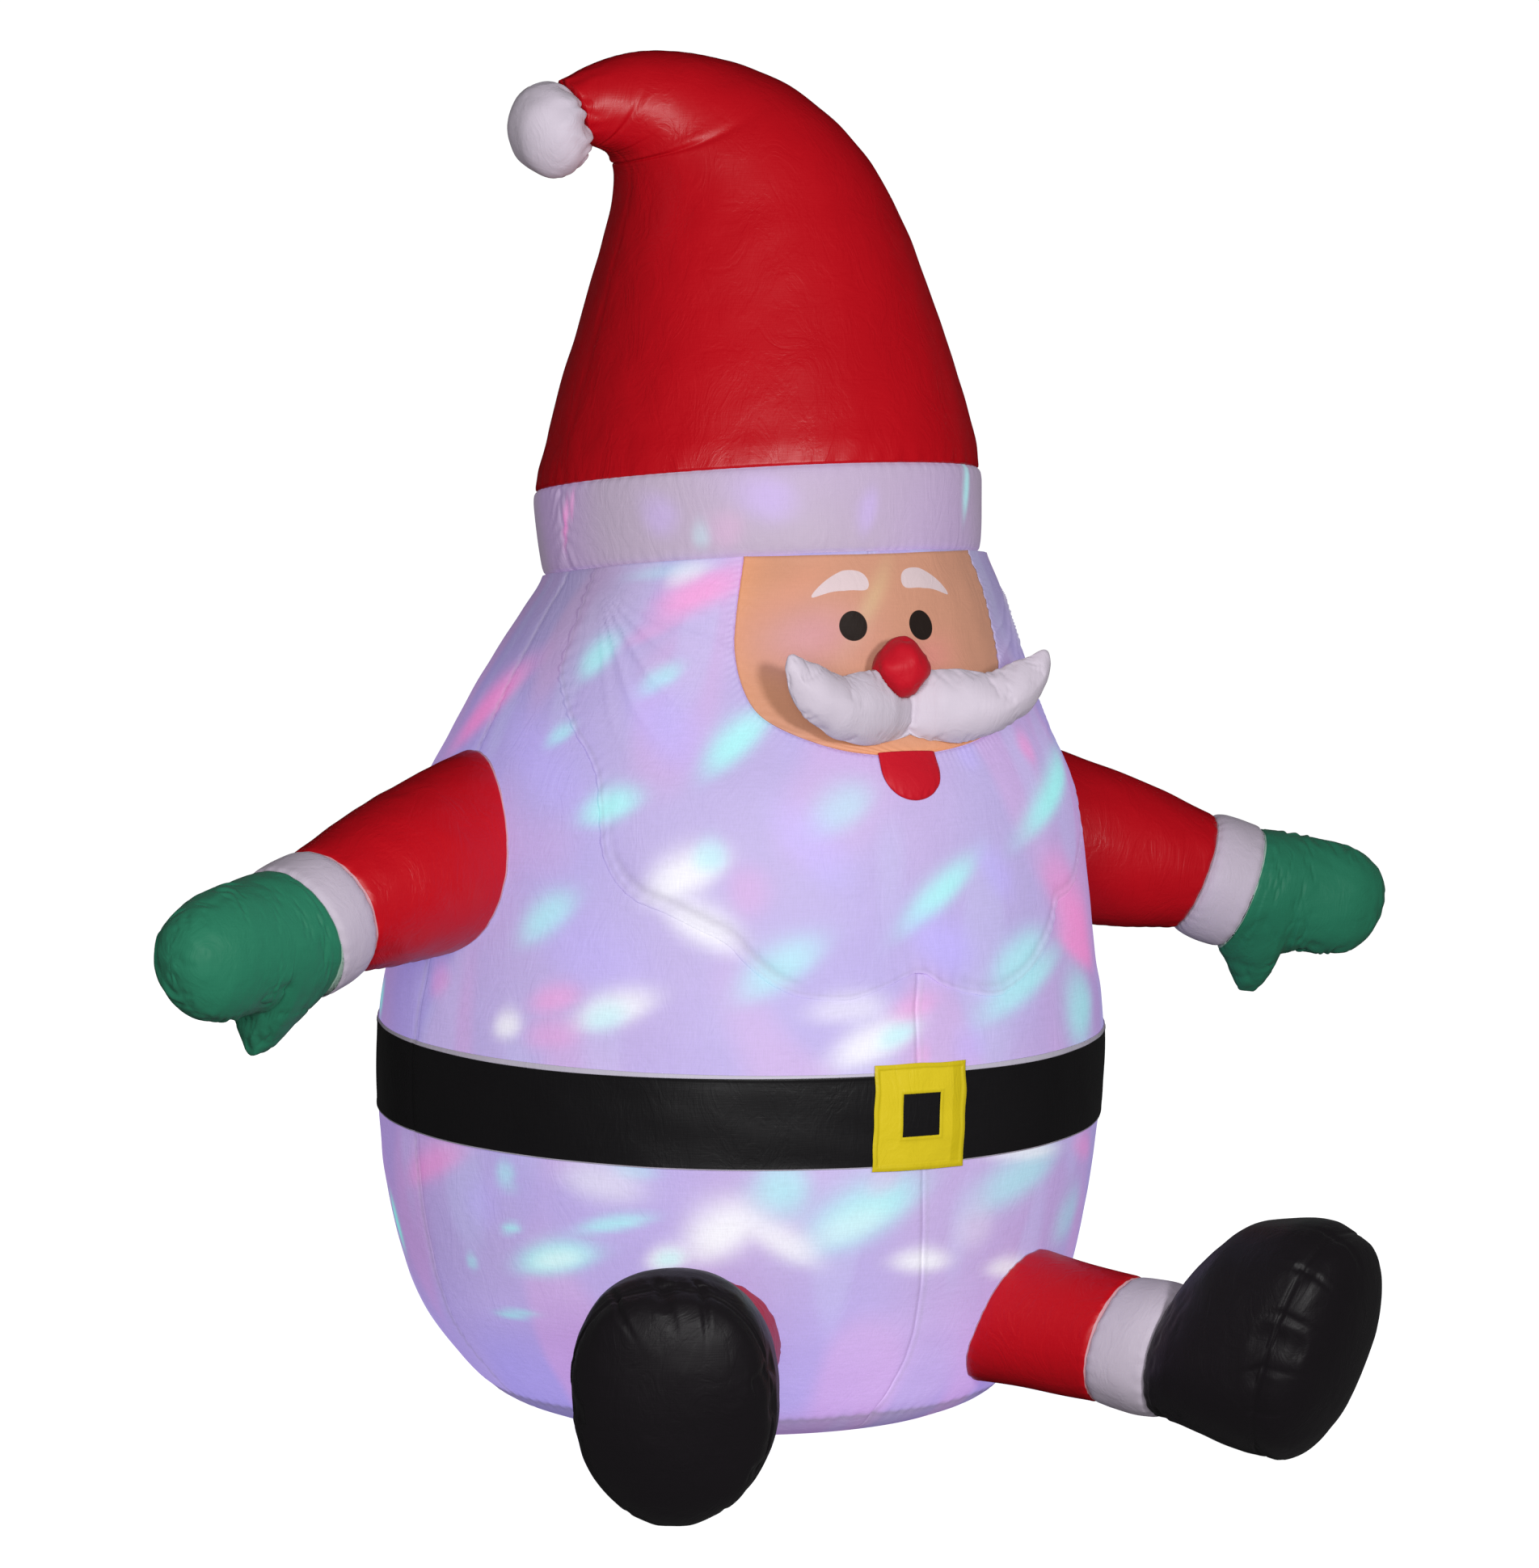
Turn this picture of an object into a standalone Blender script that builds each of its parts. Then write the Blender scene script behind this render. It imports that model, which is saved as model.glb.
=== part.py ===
"""Inflatable santa for a lawn, about 2.1 m high.

Metres, +Z up. The origin is the middle of the flat base, on the ground. Santa faces -Y, and his left is +X.
Every air-filled piece is modelled as a solid. All pieces are skins drawn from rings: a ring is a closed row
of points round a spine, and a solid is a stack of rings with a flat cap at each end.
"""
import bpy
import bmesh
import math
import numpy as np

# Gap left between pieces that are sewn to each other
CLEAR = 0.0003

# Trunk: an egg-shaped envelope on a flat base, narrowing to the neck under the hat's brim
TRUNK_HEIGHT = 1.318
BELLY_RADIUS = 0.575
HEAD_FORWARD = 0.074
# slopes of the top edge: front up, and Santa's left side up
BRIM_TILT = 0.07
BRIM_SIDE_TILT = 0.022
TRUNK_FACETS = 40
# share of the trunk's height: share of the belly's radius
TRUNK_PROFILE = [(0.0, 0.595), (0.012, 0.668), (0.03, 0.728), (0.064, 0.797), (0.104, 0.862),
                 (0.143, 0.906), (0.222, 0.956), (0.301, 0.985), (0.379, 0.998), (0.438, 1.0),
                 (0.496, 0.989), (0.531, 0.974), (0.62, 0.944), (0.7, 0.912), (0.747, 0.883),
                 (0.806, 0.814), (0.883, 0.729), (0.96, 0.646), (1.0, 0.6), (1.1, 0.56)]
# share of the trunk's height: how far forward its ring stands, as a share of HEAD_FORWARD
FORWARD_PROFILE = [(0.0, 0.2), (0.04, 0.1), (0.12, -0.08), (0.25, -0.12), (0.38, 0.0), (0.53, 0.1),
                   (0.76, 0.38), (0.87, 0.47), (1.0, 0.9), (1.1, 1.0)]

# Belt and buckle
BELT_LOW = 0.465
BELT_WIDTH = 0.133
BELT_THICK = 0.004
# slopes of the belt's plane: front down, and Santa's left side up
BELT_TILT = 0.047
BELT_SIDE_TILT = 0.013
BUCKLE_WIDTH = 0.152
BUCKLE_BORDER = 0.045
BUCKLE_THICK = 0.004
BUCKLE_BEARING = -2.6

# Skins sewn over the head: face, beard and lip
SKIN = 0.003
SEAM = 0.0015
BEARD_PUFF = 0.006
# depth to which a skin's blank reaches into the trunk before the trunk is cut away
SKIN_SINK = 0.012
# radius of the head, for turning degrees round it into metres
HEAD_RADIUS = 0.42
# face outline from its top left corner round the chin: degrees from the front, share of the trunk's height
FACE_OUTLINE = [(-34.5, 1.0319), (-34.7, 0.9689), (-34.4, 0.9249), (-33.2, 0.8877), (-29.2, 0.8384),
                (-20.5, 0.8080), (-10.4, 0.7914), (-1.8, 0.7876), (8.0, 0.7929), (19.0, 0.8065),
                (28.0, 0.8384), (33.0, 0.8877), (35.0, 0.9249), (35.6, 0.9689), (35.6, 1.0319)]
# beard outline in the same order: from the left side of the hat's brim, down and round, to its right side
BEARD_OUTLINE = [(-78.0, 1.0319), (-76.8, 0.9788), (-74.9, 0.9294), (-73.8, 0.8877), (-69.5, 0.8498),
                 (-64.2, 0.8126), (-59.6, 0.7860), (-56.6, 0.7587), (-55.0, 0.7208), (-53.8, 0.6829),
                 (-51.2, 0.6510), (-47.2, 0.6290), (-43.1, 0.6184), (-37.4, 0.5994), (-33.0, 0.5842),
                 (-29.1, 0.5561), (-25.0, 0.5341), (-20.5, 0.5220), (-15.0, 0.5190), (-8.5, 0.5303),
                 (-2.2, 0.5463), (2.0, 0.5311), (6.9, 0.5197), (12.5, 0.5137), (17.0, 0.5220),
                 (21.5, 0.5395), (25.2, 0.5622), (28.2, 0.5857), (30.8, 0.6108), (35.3, 0.6168),
                 (39.6, 0.6297), (43.0, 0.6517), (47.1, 0.6745), (49.5, 0.7132), (52.0, 0.7587),
                 (55.5, 0.7860), (60.5, 0.8126), (66.0, 0.8498), (70.5, 0.8877), (73.0, 0.9294),
                 (75.0, 0.9788), (76.0, 1.0319)]
# lip: bearing of its middle and half its spread in degrees, level of its top edge as a share of the trunk's
# height, how far it hangs below that and reaches above it, and how far it stands off the beard
LIP_BEARING = -1.5
LIP_SPREAD_DEG = 5.7
LIP_LEVEL_SHARE = 0.7724
LIP_DROP = 0.046
LIP_TOP = 0.012
LIP_PUFF = 0.008

# Moustache: two stuffed lobes that meet behind the nose; the tips stand off the cheeks
MOUSTACHE_SPAN = 0.458
MOUSTACHE_DEPTH = 0.075
# half its height at the fullest place, and how far the tips rise
MOUSTACHE_RADIUS = 0.056
MOUSTACHE_CURL = 0.073
# levels of the moustache and the nose: shares of the trunk's height
MOUSTACHE_LEVEL_SHARE = 0.8460
NOSE_LEVEL_SHARE = 0.8756
NOSE_WIDTH = 0.088
NOSE_HEIGHT = 0.09
NOSE_DEPTH = 0.08
# how far the nose's middle stands off the face, and its bearing
NOSE_STAND = 0.045
NOSE_BEARING = -1.9

# Hat
BRIM_WIDTH = 0.132
# how far the brim stands off the trunk's top edge, and how far the hat stands in from the brim
BRIM_STAND = 0.0065
HAT_INSET = 0.0015
HAT_HEIGHT = 0.662
HAT_FACETS = 30
POMPOM_WIDTH = 0.104
POMPOM_DROP = 0.016
POMPOM_HEIGHT = 0.146
# how far round from its pole, in radians, the pompom is tied to the hat
POMPOM_TIE_ANGLE = 0.7
# one ring of the hat for each row: sideways shift and height over the brim as shares of HAT_HEIGHT, radius as
# a share of the hat's radius at the brim, and the ring's tilt in degrees
HAT_RINGS = [(0.0, 0.0, 0.995, 0.0), (0.002, 0.045, 0.985, 0.0), (0.005, 0.107, 0.957, 0.4),
             (0.006, 0.222, 0.898, 0.5), (0.008, 0.337, 0.829, 0.7), (0.006, 0.45, 0.761, 0.9),
             (0.001, 0.563, 0.691, 1.0),
             (-0.01, 0.658, 0.623, 1.2), (-0.027, 0.72, 0.584, 2.5), (-0.074, 0.781, 0.518, 11.0),
             (-0.163, 0.847, 0.411, 27.0), (-0.245, 0.873, 0.331, 40.5), (-0.337, 0.885, 0.259, 59.5),
             (-0.405, 0.876, 0.205, 74.0), (-0.461, 0.856, 0.155, 96.0), (-0.49, 0.846, 0.142, 109.0)]

# Arms, the right one; the left one mirrors it. Each joint of the arm is a point on its axis.
SHOULDER = (-0.38, 0.005, 0.918)
WRIST = (-0.784, -0.139, 0.811)
PALM = (-0.855, -0.167, 0.783)
FINGERTIP = (-1.085, -0.26, 0.765)
THUMB_BACK = 0.045
SHOULDER_RADIUS = 0.15
WRIST_RADIUS = 0.098
CUFF_RADIUS = 0.106
PALM_RADIUS = 0.104

# Legs: each one leaves the trunk at its own bearing from the front and ends in a boot, sole forward and down.
# Lengths run outwards from the belly's radius; a leg's blank starts inside the trunk.
RIGHT_LEG_BEARING = -35.4
LEFT_LEG_BEARING = 26.5
HIP_DEPTH = 0.245
LEG_LENGTH = 0.1125
HIP_LEVEL = 0.19
LEG_RADIUS = 0.1
LEG_TILT = 14.0
LEG_END_LEVEL = 0.15
LEG_CUFF_WIDTH = 0.0945
LEG_CUFF_RADIUS = 0.104
BOOT_LENGTH = 0.218
ANKLE_LEVEL = 0.139
ANKLE_TILT = 10.6
SOLE_HEIGHT = 0.362
SOLE_WIDTH = 0.276
SOLE_TILT = 18.2
SOLE_BULGE = 0.077


def material(name, colour, roughness=0.45, metallic=0.0):
    """A plain cloth colour."""
    m = bpy.data.materials.new(name)
    m.use_nodes = True
    shader = m.node_tree.nodes["Principled BSDF"]
    shader.inputs["Base Color"].default_value = (*colour, 1.0)
    shader.inputs["Roughness"].default_value = roughness
    shader.inputs["Metallic"].default_value = metallic
    return m


def smooth(table, x):
    """A smooth curve through the table's points that never swings past them."""
    table = np.array(table, float)
    xs, ys = table[:, 0], table[:, 1]
    slope = np.diff(ys) / np.diff(xs)
    tangent = np.zeros(len(xs))
    tangent[0] = slope[0]
    tangent[-1] = slope[-1]
    before, after = slope[:-1], slope[1:]
    same = before * after > 0
    tangent[1:-1][same] = (2 * before * after)[same] / (before + after)[same]
    x = np.asarray(x, float)
    i = np.clip(np.searchsorted(xs, x) - 1, 0, len(xs) - 2)
    h = xs[i + 1] - xs[i]
    t = (x - xs[i]) / h
    return ((2 * t ** 3 - 3 * t ** 2 + 1) * ys[i] + (t ** 3 - 2 * t ** 2 + t) * h * tangent[i]
            + (-2 * t ** 3 + 3 * t ** 2) * ys[i + 1] + (t ** 3 - t ** 2) * h * tangent[i + 1])


def along_curve(points, count):
    """Points evenly spaced along a smooth curve through some, in degrees round the head and metres up."""
    points = np.array(points, float)
    steps = np.hypot(*(np.diff(points, axis=0) / (math.degrees(1.0 / HEAD_RADIUS), 1.0)).T)
    along = np.concatenate([[0.0], np.cumsum(steps)])
    wanted = np.linspace(0.0, along[-1], count)
    return np.stack([smooth(list(zip(along, points[:, k])), wanted) for k in (0, 1)], axis=1)


def outline(shares, count, margin=0.0):
    """The outline in degrees and metres, moved out by a margin and ended where it meets the brim."""
    points = np.array(shares) * (1.0, TRUNK_HEIGHT)
    unroll = (math.degrees(1.0 / HEAD_RADIUS), 1.0)
    fine = along_curve(points, 900)
    away = (fine - (points.min(axis=0) + points.max(axis=0)) / 2) / unroll
    away /= np.linalg.norm(away, axis=1)[:, None]
    fine = fine + away * unroll * margin
    below = np.array([z < under_brim(a) for a, z in fine])
    fine = fine[below.argmax():len(fine) - below[::-1].argmax()]
    ends = [(a, under_brim(a)) for a in (fine[0, 0], fine[-1, 0])]
    return along_curve(np.vstack([[ends[0]], fine[4:-4:6], [ends[1]]]), count)


def piece_of(name, verts, faces, mat):
    """An object from points and faces: normals outwards, triangles only, edges over 40 degrees sharp."""
    mesh = bpy.data.meshes.new(name)
    mesh.from_pydata([tuple(p) for p in verts], [], faces)
    tidy = bmesh.new()
    tidy.from_mesh(mesh)
    bmesh.ops.recalc_face_normals(tidy, faces=tidy.faces)
    bmesh.ops.triangulate(tidy, faces=tidy.faces)
    tidy.to_mesh(mesh)
    tidy.free()
    mesh.materials.append(mat)
    mesh.shade_smooth()
    mesh.set_sharp_from_angle(angle=math.radians(40))
    piece = bpy.data.objects.new(name, mesh)
    bpy.context.scene.collection.objects.link(piece)
    return piece


def solid(name, rings, mat):
    """A closed solid from a stack of rings, with a flat cap on each end."""
    rings = np.asarray(rings, float)
    rows, count = rings.shape[:2]
    faces = []
    for i in range(rows - 1):
        for j in range(count):
            k = (j + 1) % count
            faces.append((i * count + j, i * count + k, (i + 1) * count + k, (i + 1) * count + j))
    faces.append(tuple(reversed(range(count))))
    faces.append(tuple((rows - 1) * count + j for j in range(count)))
    return piece_of(name, rings.reshape(-1, 3), faces, mat)


def hide(piece):
    """Marks a cutter."""
    piece.hide_render = True
    piece.display_type = 'WIRE'
    piece.hide_set(True)
    return piece


def cut(piece, cutter):
    """Takes the cutter's shape out of the piece."""
    step = piece.modifiers.new("cut", 'BOOLEAN')
    step.operation = 'DIFFERENCE'
    step.solver = 'EXACT'
    step.object = cutter


def unit(v):
    """The same direction, of length one."""
    v = np.asarray(v, float)
    return v / np.linalg.norm(v)


# Trunk

def trunk_tilt(share):
    """Slope of a ring's plane, front up: down at the belt, up at the brim."""
    belt = (BELT_LOW + BELT_WIDTH / 2) / TRUNK_HEIGHT
    return float(smooth([(-0.1, 0.0), (0.0, 0.0), (belt - 0.09, -BELT_TILT), (belt + 0.09, -BELT_TILT),
                         (0.7, 0.0), (0.8, 0.0), (1.0, BRIM_TILT), (1.3, BRIM_TILT)], share))


def trunk_roll(share):
    """Slope of a ring's plane, Santa's left side up."""
    belt = (BELT_LOW + BELT_WIDTH / 2) / TRUNK_HEIGHT
    return float(smooth([(-0.1, 0.0), (0.0, 0.0), (belt - 0.09, BELT_SIDE_TILT),
                         (belt + 0.09, BELT_SIDE_TILT), (0.7, 0.0), (0.8, 0.0), (1.0, BRIM_SIDE_TILT),
                         (1.3, BRIM_SIDE_TILT)], share))


def trunk_ring(share, grow=0.0, azimuths=None):
    """The trunk's ring at a share of its height, grown outwards."""
    if azimuths is None:
        azimuths = np.arange(TRUNK_FACETS) * 2 * math.pi / TRUNK_FACETS
    radius = smooth(TRUNK_PROFILE, share) * BELLY_RADIUS + grow
    y = -smooth(FORWARD_PROFILE, share) * HEAD_FORWARD
    tilt = trunk_tilt(share)
    roll = trunk_roll(share)
    across = np.sin(azimuths)
    ahead = np.cos(azimuths)
    rise = radius * (ahead * math.sin(tilt) + across * math.sin(roll))
    return np.stack([radius * across * math.cos(roll), y - radius * ahead * math.cos(tilt),
                     share * TRUNK_HEIGHT + rise], axis=-1)


def trunk_surface(azimuth, height, grow=0.0):
    """A point on the trunk: degrees from the front, and height over the ground."""
    share = height / TRUNK_HEIGHT
    for _ in range(8):
        p = trunk_ring(share, 0.0, np.array([math.radians(azimuth)]))[0]
        share += (height - p[2]) / TRUNK_HEIGHT
    above = trunk_ring(share + 0.005, 0.0, np.array([math.radians(azimuth)]))[0]
    below = trunk_ring(share - 0.005, 0.0, np.array([math.radians(azimuth)]))[0]
    side = (math.cos(math.radians(azimuth)), math.sin(math.radians(azimuth)), 0.0)
    out = unit(np.cross(side, above - below))
    return p + out * grow


def trunk_shares():
    """Shares of the trunk's height that have a ring: close together at the foot, one at each belt edge."""
    low = BELT_LOW / TRUNK_HEIGHT
    high = (BELT_LOW + BELT_WIDTH) / TRUNK_HEIGHT
    foot = [0.0, 0.012, 0.03, 0.064, 0.104, 0.15, 0.21, 0.275]
    belt = list(np.linspace(low, high, 3))
    upper = list(np.linspace(high + 0.045, 1.0, 11))
    return foot + belt + upper


def make_trunk():
    """The trunk itself, one solid from the ground to the brim."""
    lilac = material("body_lilac", (0.50, 0.42, 0.68), 0.42)
    shares = trunk_shares()
    make = [trunk_ring(s) for s in shares]
    return solid("body", make, lilac)


def trunk_cutter(name, grow):
    """The trunk grown all round, and drawn out up and down, for cutting what is sewn to it."""
    shares = trunk_shares()
    beyond = (0.0, 0.0, BELLY_RADIUS / 2)
    rings = [trunk_ring(0.0, grow) - beyond]
    rings += [trunk_ring(s, grow) for s in shares]
    rings += [trunk_ring(1.0, grow) + beyond]
    return hide(solid(name, rings, bpy.data.materials["body_lilac"]))


# Belt and buckle

def belt_shares():
    """Shares of the trunk's height at the belt's lower edge, middle and upper edge."""
    low = BELT_LOW / TRUNK_HEIGHT
    high = (BELT_LOW + BELT_WIDTH) / TRUNK_HEIGHT
    return list(np.linspace(low, high, 3))


def band(name, shares, inner, outer, mat):
    """A closed hoop: its section runs up the outside and down the inside, and the hoop closes on itself."""
    up = [trunk_ring(s, outer) for s in shares]
    down = [trunk_ring(s, inner) for s in reversed(shares)]
    section = np.array(up + down)
    rows, count = section.shape[:2]
    faces = []
    for i in range(rows):
        n = (i + 1) % rows
        for j in range(count):
            k = (j + 1) % count
            faces.append((i * count + j, i * count + k, n * count + k, n * count + j))
    return piece_of(name, section.reshape(-1, 3), faces, mat)


def make_belt():
    """The belt, a hoop as wide as BELT_WIDTH, and the buckle over it."""
    black = material("belt_black", (0.012, 0.011, 0.012), 0.35)
    yellow = material("buckle_yellow", (0.68, 0.55, 0.03), 0.4)
    band("belt", belt_shares(), CLEAR, CLEAR + BELT_THICK, black)
    make_buckle(yellow)


def make_buckle(mat):
    """A flat frame bent round the belt: a grid of cells with the middle ones left out for the window.

    A column stands at each facet edge of the belt too, so the frame's back never dips into the belt.
    """
    low, middle, high = belt_shares()
    base = BELT_THICK + 2 * CLEAR
    turn = math.radians(BUCKLE_BEARING)
    half = BUCKLE_WIDTH / 2 / BELLY_RADIUS
    window = (BUCKLE_WIDTH - 2 * BUCKLE_BORDER) / 2 / BELLY_RADIUS
    step = (high - low) * BUCKLE_BORDER / BELT_WIDTH
    edges = [turn - half, turn - window, turn + window, turn + half]
    facet = 2 * math.pi / TRUNK_FACETS
    corners = [k * facet for k in range(-TRUNK_FACETS // 2, TRUNK_FACETS // 2)]
    corners = [a for a in corners if edges[0] < a < edges[3] and min(abs(a - e) for e in edges) > 0.002]
    columns = np.array(sorted(edges + corners))
    rows = [low, low + step, middle, high - step, high]
    back = np.array([trunk_ring(s, base, columns) for s in rows])
    front = np.array([trunk_ring(s, base + BUCKLE_THICK, columns) for s in rows])
    wide, tall = len(columns), len(rows)
    under = wide * tall
    solid_cell = np.zeros((tall + 1, wide + 1), bool)
    solid_cell[1:-1, 1:-1] = True
    for j in range(wide - 1):
        if edges[1] - 1e-6 < columns[j] and columns[j + 1] < edges[2] + 1e-6:
            solid_cell[2:4, j + 1] = False
    faces = []
    for i in range(tall - 1):
        for j in range(wide - 1):
            if not solid_cell[i + 1, j + 1]:
                continue
            a, b, c, d = i * wide + j, i * wide + j + 1, (i + 1) * wide + j + 1, (i + 1) * wide + j
            faces.append((a, b, c, d))
            faces.append((under + d, under + c, under + b, under + a))
            sides = ((a, b, i, j + 1), (b, c, i + 1, j + 2), (c, d, i + 2, j + 1), (d, a, i + 1, j))
            for p, q, m, n in sides:
                if not solid_cell[m, n]:
                    faces.append((q, p, under + p, under + q))
    piece_of("belt_buckle", np.concatenate([front.reshape(-1, 3), back.reshape(-1, 3)]), faces, mat)


# Face and beard

def skin_patch(name, grid, thickness, mat):
    """A skin over the trunk: a grid of (azimuth, height) points with a thickness at each, sunk a little."""
    grid = np.asarray(grid, float)
    rows, count = grid.shape[:2]
    top = np.array([[trunk_surface(a, z, t) for (a, z), t in zip(row, thick)]
                    for row, thick in zip(grid, thickness)])
    low = np.array([[trunk_surface(a, z, -SKIN_SINK) for a, z in row] for row in grid])
    under = rows * count
    faces = []
    for i in range(rows - 1):
        for j in range(count - 1):
            a, b, c, d = i * count + j, i * count + j + 1, (i + 1) * count + j + 1, (i + 1) * count + j
            faces.append((a, b, c, d))
            faces.append((under + d, under + c, under + b, under + a))
    for i in range(rows - 1):
        for j in (0, count - 1):
            a, d = i * count + j, (i + 1) * count + j
            faces.append((a, d, under + d, under + a))
    for j in range(count - 1):
        for i in (0, rows - 1):
            a, b = i * count + j, i * count + j + 1
            faces.append((a, b, under + b, under + a))
    return piece_of(name, np.concatenate([top.reshape(-1, 3), low.reshape(-1, 3)]), faces, mat)


def under_brim(azimuth):
    """Height of the trunk's top edge at this azimuth, less the gap."""
    return trunk_ring(1.0, 0.0, np.array([math.radians(azimuth)]))[0][2] - 2 * CLEAR


def make_face(backing):
    """The face's shield under the brim and the scalloped beard round it."""
    skin = material("face_skin", (0.66, 0.36, 0.30), 0.5)
    lilac = material("beard_lilac", (0.56, 0.49, 0.76), 0.42)
    red = material("lip_red", (0.55, 0.012, 0.035), 0.4)
    edge = outline(FACE_OUTLINE, 22)
    # the face: rows run from its left edge to its right edge, so each row joins two points of the outline
    half = len(edge) // 2
    left, right = edge[:half], edge[::-1][:half]
    share = np.linspace(0.0, 1.0, 8)
    grid = left[:, None, :] * (1 - share)[None, :, None] + right[:, None, :] * share[None, :, None]
    cut(skin_patch("face_panel", grid, np.full(grid.shape[:2], SKIN), skin), backing)
    # the beard: from the face's edge out to its own scalloped edge
    outer = outline(BEARD_OUTLINE, 41)
    inner = outline(FACE_OUTLINE, 41, SEAM)
    share = np.array([0.0, 0.2, 0.5, 0.8, 1.0])
    grid = inner[:, None, :] * (1 - share)[None, :, None] + outer[:, None, :] * share[None, :, None]
    puff = SKIN + (BEARD_PUFF - SKIN) * np.sin(math.pi * share)
    cut(skin_patch("beard", grid, np.tile(puff, (len(grid), 1)), lilac), backing)
    return red


def make_lip(red, backing):
    """A small red lip, open upwards, sewn over the beard's top edge."""
    angle = np.linspace(math.pi, 2 * math.pi, 9)
    level = LIP_LEVEL_SHARE * TRUNK_HEIGHT
    across = LIP_BEARING + LIP_SPREAD_DEG * np.cos(angle)
    low = np.stack([across, level + LIP_DROP * np.sin(angle)], axis=1)
    high = np.stack([across, np.full(9, level + LIP_TOP)], axis=1)
    share = np.linspace(0.0, 1.0, 4)
    low = low[1:-1]
    high = high[1:-1]
    grid = low[:, None, :] * (1 - share)[None, :, None] + high[:, None, :] * share[None, :, None]
    lift = BEARD_PUFF + 2 * CLEAR + LIP_PUFF
    cut(skin_patch("lower_lip", grid, np.full(grid.shape[:2], lift), red), backing)


def make_moustache(backing):
    """One long pillow: thin behind the nose, full in each lobe, drawn out to a turned-up tip."""
    white = material("moustache_white", (0.60, 0.53, 0.62), 0.5)
    half = MOUSTACHE_SPAN / 2
    # share of the half span: rise of the middle line as a share of the curl, half height as a share of the
    # fullest one, depth and the middle line's stand off the face as shares of the whole depth
    rise = [(0.0, 0.0), (0.2, -0.041), (0.34, -0.062), (0.55, -0.041), (0.67, 0.103), (0.8, 0.322),
            (0.9, 0.575), (1.0, 1.0)]
    tall = [(0.0, 0.821), (0.2, 0.964), (0.34, 1.0), (0.55, 0.857), (0.67, 0.777), (0.8, 0.714),
            (0.9, 0.518), (1.0, 0.179)]
    deep = [(0.0, 0.3), (0.1, 0.55), (0.2, 0.8), (0.5, 1.0), (0.75, 0.8), (0.92, 0.42), (1.0, 0.1)]
    stand = [(0.0, 0.267), (0.2, 0.373), (0.5, 0.507), (0.8, 0.667), (1.0, 0.747)]
    level = MOUSTACHE_LEVEL_SHARE * TRUNK_HEIGHT
    front = trunk_surface(0.0, level, 0.0)[1]
    rings = []
    for share in np.concatenate([-np.array([1.0, 0.95, 0.86, 0.72, 0.56, 0.4, 0.22, 0.08]), [0.0],
                                 [0.08, 0.22, 0.4, 0.56, 0.72, 0.86, 0.95, 1.0]]):
        s = abs(share)
        centre = np.array([share * half, front - MOUSTACHE_DEPTH * float(smooth(stand, s)),
                           level + MOUSTACHE_CURL * float(smooth(rise, s))])
        climb = float(smooth(rise, min(s + 0.02, 1.0))) - float(smooth(rise, max(s - 0.02, 0.0)))
        lean = math.atan(MOUSTACHE_CURL * climb / (0.04 * half)) * (1 if share > 0 else -1) * 0.6
        up = np.array([-math.sin(lean), 0.0, math.cos(lean)])
        ahead = np.array([0.0, -1.0, 0.0])
        angle = np.arange(10) * 2 * math.pi / 10
        rings.append(centre + np.outer(np.cos(angle), ahead) * MOUSTACHE_DEPTH / 2 * float(smooth(deep, s))
                     + np.outer(np.sin(angle), up) * MOUSTACHE_RADIUS * float(smooth(tall, s)))
    piece = solid("moustache", rings, white)
    cut(piece, backing)
    return piece


def make_nose(backing):
    """A rounded diamond pillow, and the shape it takes out of the moustache behind it."""
    red = bpy.data.materials["lip_red"]

    def pillow(name, grow):
        middle = trunk_surface(NOSE_BEARING, NOSE_LEVEL_SHARE * TRUNK_HEIGHT, NOSE_STAND)
        rings = []
        for turn in np.linspace(0.08, math.pi - 0.08, 7):
            radius = math.sin(turn)
            depth = -math.cos(turn)
            angle = np.arange(12) * 2 * math.pi / 12
            corner = radius * (1.0 - 0.10 * np.sin(2 * angle) ** 2)
            rings.append(np.stack([middle[0] + (NOSE_WIDTH / 2 + grow) * corner * np.cos(angle),
                                   np.full(12, middle[1] - (NOSE_DEPTH / 2 + grow) * depth),
                                   middle[2] + (NOSE_HEIGHT / 2 + grow) * corner * np.sin(angle)], axis=1))
        return solid(name, rings, red)

    nose = pillow("nose", 0.0)
    cut(nose, backing)
    return hide(pillow("nose_seat", CLEAR))


# Hat

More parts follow.
